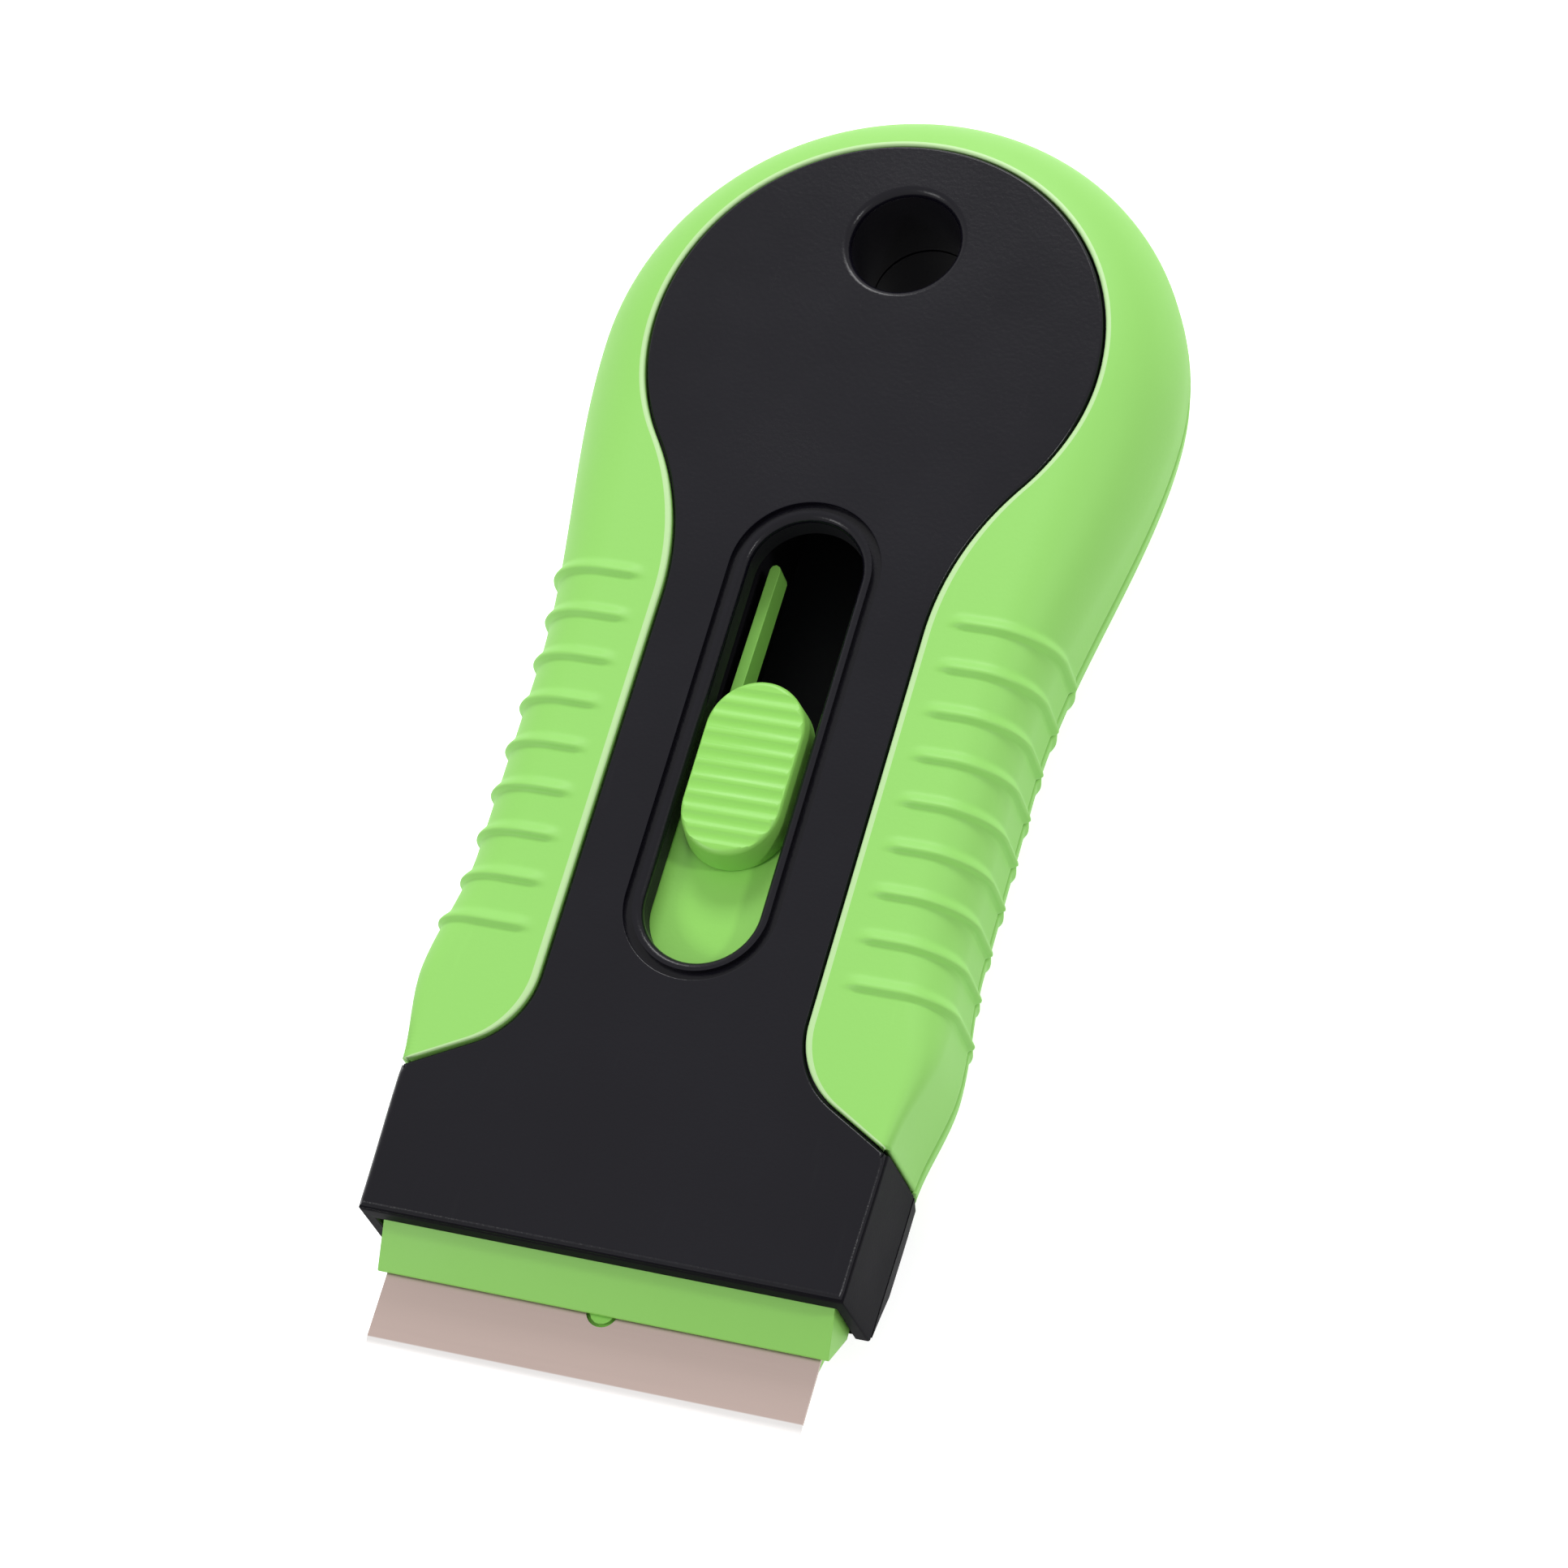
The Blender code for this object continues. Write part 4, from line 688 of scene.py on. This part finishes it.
# The soft green grip, moulded over the black core round both sides and the head. A rolled lip
# stands against the black face, and nine low ribs a side run over the edge for the fingers.
GRIP_GAP = 0.0002
FLARE_SPARE = 0.0004
LIP_RADIUS = 0.00028
LIP_DROP = 0.0012
UNDER_Z = 0.0004
RIB_FIRST = 0.0271
RIB_PITCH = 0.0043
RIB_COUNT = 9
RIB_INNER = 0.0140
RIB_FADE = 0.0016
RIB_STEEP = 0.00042
RIB_TAPER = 0.00120
RIB_HEIGHT = 0.00042
RIB_GROWTH = 0.00016
RIB_MARGIN = 0.0016
UNDER_RIB = 0.45
# The rows of the lip's roll that get a paler green, a painted highlight.
LIP_HIGHLIGHT_FROM = 0.07
LIP_HIGHLIGHT_TO = 0.16
GRIP_WELL = 0.0032
WELL_MERGE = 0.00010
SKIN_WALL = 0.0006
WALL_SHARE = 0.05
ROLL_SHARE = 0.15
EDGE_SHARE = 0.94
ROWS = 56


def face_half(at):
    """Half width of the black face and its gap, from the front of the grip to the head's middle."""
    neck_x = FACE_WAIST + NECK_RADIUS
    reach = math.sqrt((FACE_HEAD + NECK_RADIUS) ** 2 - neck_x ** 2)
    bend, _ = border_bend(GRIP_GAP)
    if at < bend[1]:
        return min(bend[0] + (bend[1] - at) * math.tan(math.radians(FLARE_TURN)), half_width(at) - FLARE_SPARE)
    if at < FLARE_AT + FLARE_RADIUS:
        drop = FLARE_AT + FLARE_RADIUS - at
        return FACE_WAIST + FLARE_RADIUS - math.sqrt((FLARE_RADIUS - GRIP_GAP) ** 2 - drop ** 2)
    if at < FACE_HEAD_AT - reach:
        return FACE_WAIST + GRIP_GAP
    if at < FACE_HEAD_AT - FACE_HEAD * reach / (FACE_HEAD + NECK_RADIUS):
        return neck_x - math.sqrt((NECK_RADIUS - GRIP_GAP) ** 2 - (at - FACE_HEAD_AT + reach) ** 2)
    return math.sqrt((FACE_HEAD + GRIP_GAP) ** 2 - (at - FACE_HEAD_AT) ** 2)


def face_reach(angle):
    """Distance from the head's middle to the border of the black face, in one direction."""
    shift = FACE_HEAD_AT - HEAD_AT
    return shift * math.sin(angle) + math.sqrt((FACE_HEAD + GRIP_GAP) ** 2 - (shift * math.cos(angle)) ** 2)


def grip_columns():
    """Stations round the grip from the right front, past the tail, to the left front."""
    front = border_bend(GRIP_GAP)[1] + GRIP_GAP
    ribs_from = RIB_FIRST - RIB_MARGIN
    ribs_to = RIB_FIRST + RIB_PITCH * (RIB_COUNT - 1) + RIB_MARGIN
    side = [front + (ribs_from - front) * i / 34 for i in range(34)]
    side += [ribs_from + (ribs_to - ribs_from) * i / 200 for i in range(200)]
    side += [ribs_to + (HEAD_AT - ribs_to) * i / 30 for i in range(30)]
    head = [math.radians(180.0 * i / 72) for i in range(73)]
    return [("side", 1.0, at) for at in side] + [("head", 1.0, angle) for angle in head] + \
           [("side", -1.0, at) for at in reversed(side)]


def rib_lift(at, across, depth):
    """Height of the nearest rib over the skin: steep towards the mouth, tapering in on top."""
    nearest = min(max(round((at - RIB_FIRST) / RIB_PITCH), 0), RIB_COUNT - 1)
    off = at - RIB_FIRST - nearest * RIB_PITCH
    share = -off / RIB_STEEP if off < 0.0 else off / RIB_TAPER
    if share > 1.0:
        return 0.0
    return ease(1.0 - share) * ease((across - RIB_INNER) / RIB_FADE) * (RIB_HEIGHT + RIB_GROWTH * depth)


def skin_point(column, along, upper):
    """A point of the skin: along runs from the bottom of the lip's wall over to the parting line."""
    kind, side, where = column
    outer, inner = (half_width(where), face_half(where)) if kind == "side" else (HEAD_RADIUS, face_reach(where))
    if upper:
        top_z, total = SKIN_TOP, SKIN_TOP - PARTING
        radius, lean = shoulder(where if kind == "side" else HEAD_AT)
    else:
        top_z, total = UNDER_Z, UNDER_PARTING - UNDER_Z
        radius, lean = UNDER_ROUND, UNDER_DRAFT

    def arc_point(turned):
        drop = radius * (1.0 - math.sin(turned))
        return outer - radius * (1.0 - math.cos(turned)) - lean * (total - drop), drop

    begin = math.pi / 2
    start = inner + LIP_RADIUS
    flat = max(arc_point(begin)[0] - start, 0.0)
    if flat == 0.0:
        low, high = 0.0, begin
        for _ in range(24):
            begin = (low + high) / 2
            low, high = (begin, high) if arc_point(begin)[0] > start else (low, begin)
    drop_in = arc_point(begin)[1]
    arc_run = radius * begin
    side_run = total - LIP_RADIUS - radius
    if along < WALL_SHARE:
        across, drop = inner, drop_in + LIP_RADIUS + (LIP_DROP - LIP_RADIUS) * (1.0 - along / WALL_SHARE)
        normal = (-1.0, 0.0)
    elif along < ROLL_SHARE:
        angle = (along - WALL_SHARE) / (ROLL_SHARE - WALL_SHARE) * math.pi / 2
        across = inner + LIP_RADIUS * (1.0 - math.cos(angle))
        drop = drop_in + LIP_RADIUS * (1.0 - math.sin(angle))
        normal = (-math.cos(angle), math.sin(angle))
    elif along < EDGE_SHARE:
        run = (along - ROLL_SHARE) / (EDGE_SHARE - ROLL_SHARE) * (flat + arc_run + side_run)
        if run < flat:
            across, drop, normal = start + run, drop_in, (0.0, 1.0)
        elif run < flat + arc_run:
            turned = begin - (run - flat) / radius
            across, drop = arc_point(turned)
            normal = (math.cos(turned), math.sin(turned))
        else:
            drop = radius + run - flat - arc_run
            across, normal = outer - lean * (total - drop), (1.0, 0.0)
    else:
        angle = (along - EDGE_SHARE) / (1.0 - EDGE_SHARE) * math.pi / 2
        across = outer - lean * LIP_RADIUS - LIP_RADIUS * (1.0 - math.cos(angle))
        drop, normal = total - LIP_RADIUS + LIP_RADIUS * math.sin(angle), (1.0, 0.0)
    away = 1.0 if upper else -1.0
    if kind == "side":
        lift = rib_lift(where, across, min(drop / WAIST_ROUND, 1.0)) * (1.0 if upper else UNDER_RIB)
        across += normal[0] * lift
        drop -= normal[1] * lift
        return Vector((side * across, where + MOUTH, top_z - away * drop))
    return Vector((across * math.cos(where), HEAD_AT + MOUTH + across * math.sin(where), top_z - away * drop))


def open_wells(bm):
    """Cut the round wells of the two front screws out of the skin."""
    for x, at in SCREW_PLACES[:2]:
        centre = Vector((x, at + MOUTH, 0.0))
        gone = [face for face in bm.faces if (face.calc_center_median() - centre).xy.length < GRIP_WELL]
        rim = {vert for face in gone for vert in face.verts}
        bmesh.ops.delete(bm, geom=gone, context="FACES")
        rim = [vert for vert in rim if vert.is_valid]
        for vert in rim:
            away = (vert.co - centre).xy.normalized() * GRIP_WELL
            vert.co = (centre.x + away.x, centre.y + away.y, vert.co.z)
        bmesh.ops.remove_doubles(bm, verts=rim, dist=WELL_MERGE)


def grip(name, upper):
    """One half of the grip as a sheet laid over the core, thickened inwards."""
    columns = grip_columns()
    bm = bmesh.new()
    bmesh.ops.create_grid(bm, x_segments=len(columns) - 1, y_segments=ROWS - 1, size=0.5)
    for face in bm.faces:
        # The lip's rolled rows take the paler green, a painted highlight along the border.
        face.material_index = 1 if LIP_HIGHLIGHT_FROM < face.calc_center_median().y + 0.5 < LIP_HIGHLIGHT_TO else 0
    for vert in bm.verts:
        column = columns[round((vert.co.x + 0.5) * (len(columns) - 1))]
        vert.co = skin_point(column, vert.co.y + 0.5, upper)
    if not upper:
        open_wells(bm)
    bmesh.ops.recalc_face_normals(bm, faces=bm.faces)
    middle = max(bm.faces, key=lambda face: face.calc_center_median().x)
    if middle.normal.x < 0.0:
        bmesh.ops.reverse_faces(bm, faces=bm.faces[:])
    mesh = bpy.data.meshes.new(name)
    bm.to_mesh(mesh)
    bm.free()
    piece = bpy.data.objects.new(name, mesh)
    bpy.context.scene.collection.objects.link(piece)
    wall = piece.modifiers.new("wall", "SOLIDIFY")
    wall.thickness = SKIN_WALL
    wall.offset = -1.0
    mesh.shade_smooth()
    return piece


lime_rubber = plastic("lime_soft_grip", (0.335, 0.765, 0.155), (0.350, 0.790, 0.165), (0.50, 0.60), 0.06,
                      1800.0, 0.05)
# A paler copy of the green for the lip: a painted highlight.
lip_highlight_lime = plastic("lime_grip_lip_painted_highlight", (0.570, 0.870, 0.400), (0.590, 0.890, 0.420), (0.40, 0.50), 0.06,
                   1800.0, 0.05)
top_grip = grip("top_grip_skin", True)
bottom_grip = grip("bottom_grip_skin", False)
for piece, node in ((top_grip, "top_grip"), (bottom_grip, "bottom_grip")):
    piece.data.materials.append(lime_rubber)
    piece.data.materials.append(lip_highlight_lime)
    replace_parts(piece, node)
    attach(piece, "handle")

# The thumb button: a green hard plastic pad with round ends and ten cross grooves, pegged
# through the slot to the carrier.
BUTTON_HALF = 0.0048
BUTTON_FRONT = 0.0365
BUTTON_LENGTH = 0.0168
BUTTON_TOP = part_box("thumb_button")[1].z
BUTTON_FOOT = 0.0144
BUTTON_GROOVES = 10
BUTTON_PITCH = 0.0015
BUTTON_TAPER = 0.0004
BUTTON_ROUND = 0.00055
PEG_PLACES = ((0.0, 0.0404), (0.0, 0.0494))
PEG_RADIUS = 0.0015
PEG_FOOT = 0.0123
GROOVE_RADIUS = 0.00120
GROOVE_SINK = 0.00017
GROOVE_LENGTH = 0.020

button = slab("thumb_button_pad", (0.0, BUTTON_FRONT),
              [("arc", 0.0, BUTTON_FRONT + BUTTON_HALF, 90.0, 24),
               ("to", BUTTON_HALF, BUTTON_FRONT + BUTTON_LENGTH - BUTTON_HALF),
               ("arc", 0.0, BUTTON_FRONT + BUTTON_LENGTH - BUTTON_HALF, 90.0, 24)], BUTTON_FOOT, BUTTON_TOP)
for vert in button.data.vertices:
    if vert.co.z > BUTTON_TOP - 1e-5:
        vert.co.x *= 1.0 - BUTTON_TAPER / BUTTON_HALF
        vert.co.y += (MOUTH + BUTTON_FRONT + BUTTON_LENGTH - vert.co.y) * BUTTON_TAPER / BUTTON_LENGTH / 2
soften(button, lambda co: co.z > BUTTON_TOP - 1e-5, BUTTON_ROUND, 5)
bm = bmesh.new()
for i in range(BUTTON_GROOVES):
    at = BUTTON_FRONT + BUTTON_LENGTH / 2 + (i - (BUTTON_GROOVES - 1) / 2) * BUTTON_PITCH
    rod = bmesh.ops.create_cone(bm, cap_ends=True, segments=28, radius1=GROOVE_RADIUS, radius2=GROOVE_RADIUS,
                                depth=GROOVE_LENGTH)
    bmesh.ops.rotate(bm, cent=(0.0, 0.0, 0.0), matrix=Matrix.Rotation(math.pi / 2, 3, "Y"), verts=rod["verts"])
    bmesh.ops.translate(bm, vec=(0.0, at + MOUTH, BUTTON_TOP + GROOVE_RADIUS - GROOVE_SINK), verts=rod["verts"])
merge_tools(button, ("DIFFERENCE", keep_mesh("rods", bm)),
            ("UNION", posts("pegs", PEG_PLACES, PEG_RADIUS, PEG_FOOT, BUTTON_FOOT + SINK, 32)))
shade(button, 50.0)
lime_plastic = plastic("lime_hard_plastic", (0.315, 0.760, 0.125), (0.335, 0.785, 0.140), (0.40, 0.50), 0.05,
                       2200.0, 0.06)
button.data.materials.clear()
button.data.materials.append(lime_plastic)
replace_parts(button, "thumb_button")
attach(button, "slider")


# The blade carrier and the clamp under the blade: green hard plastic mouldings that hold the
# blade between them. Their sharp corners are broken by a small round all along.
ARM_END = 0.0660
ARM_BEND_AT = 0.0480
ARM_REACH = 0.0008
ARM_FLEX = 0.0003
CARRIER_ROUND = 0.00014
CLAMP_ROUND = 0.00006


def rounded_copy(name, node, width):
    """A copy of a plain piece with its triangles merged into faces and its corners rounded."""
    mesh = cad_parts[node].data.copy()
    mesh.name = name
    bm = bmesh.new()
    bm.from_mesh(mesh)
    bmesh.ops.remove_doubles(bm, verts=bm.verts, dist=MERGE)
    bmesh.ops.dissolve_limit(bm, angle_limit=0.01, verts=bm.verts, edges=bm.edges)
    for vert in bm.verts:
        bend = max(vert.co.y - MOUTH - ARM_BEND_AT, 0.0) / (ARM_END - ARM_BEND_AT)
        vert.co.x -= math.copysign(ARM_FLEX, vert.co.x) * bend
        vert.co.y += ARM_REACH * bend
    bm.to_mesh(mesh)
    bm.free()
    piece = bpy.data.objects.new(name, mesh)
    bpy.context.scene.collection.objects.link(piece)
    corner = piece.modifiers.new("corners", "BEVEL")
    corner.width = width
    corner.segments = 2
    corner.limit_method = "ANGLE"
    corner.angle_limit = math.radians(30.0)
    corner.use_clamp_overlap = True
    shade(piece)
    return piece


carrier = rounded_copy("blade_carrier_moulding", "blade_carrier", CARRIER_ROUND)
clamp = rounded_copy("blade_clamp_jaw", "blade_clamp", CLAMP_ROUND)
for piece, node in ((carrier, "blade_carrier"), (clamp, "blade_clamp")):
    piece.data.materials.clear()
    piece.data.materials.append(lime_plastic)
    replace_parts(piece, node)
    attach(piece, "slider")

# The blade: a flat strip of ground steel, 39 mm wide and 0.3 mm thick, with a single ground
# bevel along its front edge and one locating hole.
BLADE_HALF = 0.0195
BLADE_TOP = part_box("blade")[1].z
BLADE_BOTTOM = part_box("blade")[0].z
BLADE_EDGE = -0.0100
BLADE_BACK = 0.0090
BLADE_GRIND = 0.0008
BLADE_KEENNESS = 0.00002
GRIND_BLEND = 0.00005
BLADE_HOLE_AT = -0.0031
BLADE_HOLE_RADIUS = 0.0014

blade = wedge("steel_blade", [(BLADE_EDGE, BLADE_BOTTOM), (BLADE_EDGE, BLADE_BOTTOM + BLADE_KEENNESS),
                              (BLADE_EDGE + BLADE_GRIND, BLADE_TOP), (BLADE_BACK, BLADE_TOP),
                              (BLADE_BACK, BLADE_BOTTOM)], BLADE_HALF)
merge_tools(blade, ("DIFFERENCE", posts("hole", ((0.0, BLADE_HOLE_AT),), BLADE_HOLE_RADIUS, BLADE_BOTTOM - CLEAR,
                                        BLADE_TOP + CLEAR, 64)))
shade(blade, 20.0)

ground_steel = bpy.data.materials.new("ground_steel")
ground_steel.use_nodes = True
nodes = ground_steel.node_tree.nodes
links = ground_steel.node_tree.links
shader = nodes["Principled BSDF"]
shader.inputs["Metallic"].default_value = 1.0
place = nodes.new("ShaderNodeTexCoord")
along = nodes.new("ShaderNodeMapping")
along.inputs["Scale"].default_value = (60.0, 2600.0, 2600.0)
links.new(place.outputs["Object"], along.inputs["Vector"])
strokes = nodes.new("ShaderNodeTexNoise")
strokes.inputs["Scale"].default_value = 1.0
strokes.inputs["Detail"].default_value = 3.0
links.new(along.outputs["Vector"], strokes.inputs["Vector"])
split = nodes.new("ShaderNodeSeparateXYZ")
links.new(place.outputs["Object"], split.inputs["Vector"])
ground = nodes.new("ShaderNodeMapRange")
ground.inputs["From Min"].default_value = BLADE_EDGE + BLADE_GRIND + MOUTH + GRIND_BLEND
ground.inputs["From Max"].default_value = BLADE_EDGE + BLADE_GRIND + MOUTH - GRIND_BLEND
links.new(split.outputs["Y"], ground.inputs["Value"])
# The flat face is a dull pinkish brown, a painted reflection of brown surroundings; the ground bevel has a
# lighter, nearly neutral steel colour.
reflection_tint = nodes.new("ShaderNodeMix")
reflection_tint.data_type = "RGBA"
reflection_tint.inputs["A"].default_value = (0.475, 0.374, 0.340, 1.0)
reflection_tint.inputs["B"].default_value = (0.720, 0.700, 0.690, 1.0)
links.new(ground.outputs["Result"], reflection_tint.inputs["Factor"])
links.new(reflection_tint.outputs["Result"], shader.inputs["Base Color"])
polish = nodes.new("ShaderNodeMapRange")
polish.inputs["To Min"].default_value = 0.34
polish.inputs["To Max"].default_value = 0.46
links.new(strokes.outputs["Fac"], polish.inputs["Value"])
links.new(polish.outputs["Result"], shader.inputs["Roughness"])
relief = nodes.new("ShaderNodeBump")
relief.inputs["Strength"].default_value = 0.12
relief.inputs["Distance"].default_value = 0.00005
links.new(strokes.outputs["Fac"], relief.inputs["Height"])
links.new(relief.outputs["Normal"], shader.inputs["Normal"])
blade.data.materials.clear()
blade.data.materials.append(ground_steel)
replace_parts(blade, "blade")
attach(blade, "slider")

# The three case screws: zinc plated self-tapping screws with pan heads and cross recesses,
# sunk in wells in the back.
RECESS_ARM = 0.0012
RECESS_HALF = 0.00024
RECESS_DEPTH = 0.0014

zinc = bpy.data.materials.new("zinc_plate")
zinc.use_nodes = True
nodes = zinc.node_tree.nodes
links = zinc.node_tree.links
shader = nodes["Principled BSDF"]
shader.inputs["Metallic"].default_value = 1.0
grain = nodes.new("ShaderNodeGroup")
grain.node_tree = GRAIN
grain.inputs["Grain Scale"].default_value = 3000.0
grain.inputs["Patch Scale"].default_value = 400.0
grain.inputs["Scuff Amount"].default_value = 0.3
mix = nodes.new("ShaderNodeMix")
mix.data_type = "RGBA"
mix.inputs["A"].default_value = (0.52, 0.52, 0.53, 1.0)
mix.inputs["B"].default_value = (0.66, 0.66, 0.67, 1.0)
links.new(grain.outputs["Patches"], mix.inputs["Factor"])
links.new(mix.outputs["Result"], shader.inputs["Base Color"])
sheen = nodes.new("ShaderNodeMapRange")
sheen.inputs["To Min"].default_value = 0.25
sheen.inputs["To Max"].default_value = 0.45
links.new(grain.outputs["Patches"], sheen.inputs["Value"])
links.new(sheen.outputs["Result"], shader.inputs["Roughness"])


def case_screw(name, x, at):
    bm = bmesh.new()
    tip = None
    # Half the screw's outline from the top of its head to its point, as radius and height
    for radius, z in ((0.0, 0.0006), (0.0015, 0.00063), (0.0021, 0.00085), (0.0025, 0.00125), (0.0026, 0.0016),
                      (0.0026, 0.0023), (0.0011, 0.0023), (0.0011, 0.0095), (0.0003, 0.0117), (0.0, 0.0117)):
        if tip is None:
            tip = bm.verts.new((x + radius, at + MOUTH, z))
        else:
            tip = bmesh.ops.extrude_vert_indiv(bm, verts=[tip])["verts"][0]
            tip.co = (x + radius, at + MOUTH, z)
    bmesh.ops.spin(bm, geom=bm.verts[:] + bm.edges[:], cent=(x, at + MOUTH, 0.0), axis=(0.0, 0.0, 1.0),
                   angle=2 * math.pi, steps=48, use_merge=True, use_duplicate=False)
    bmesh.ops.remove_doubles(bm, verts=bm.verts, dist=MERGE)
    screw = keep_mesh(name, bm)
    across = boxes("across", [((x - RECESS_ARM, at - RECESS_HALF, 0.0),
                               (x + RECESS_ARM, at + RECESS_HALF, RECESS_DEPTH))])
    down = boxes("down", [((x - RECESS_HALF, at - RECESS_ARM, 0.0),
                           (x + RECESS_HALF, at + RECESS_ARM, RECESS_DEPTH))])
    merge_tools(screw, ("DIFFERENCE", across), ("DIFFERENCE", down))
    shade(screw)
    screw.data.materials.clear()
    screw.data.materials.append(zinc)
    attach(screw, "handle")
    return screw


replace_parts(case_screw("case_screw_right_turned", *SCREW_PLACES[0]), "case_screw_right")
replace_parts(case_screw("case_screw_left_turned", *SCREW_PLACES[1]), "case_screw_left")
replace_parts(case_screw("case_screw_back_turned", *SCREW_PLACES[2]), "case_screw_back")
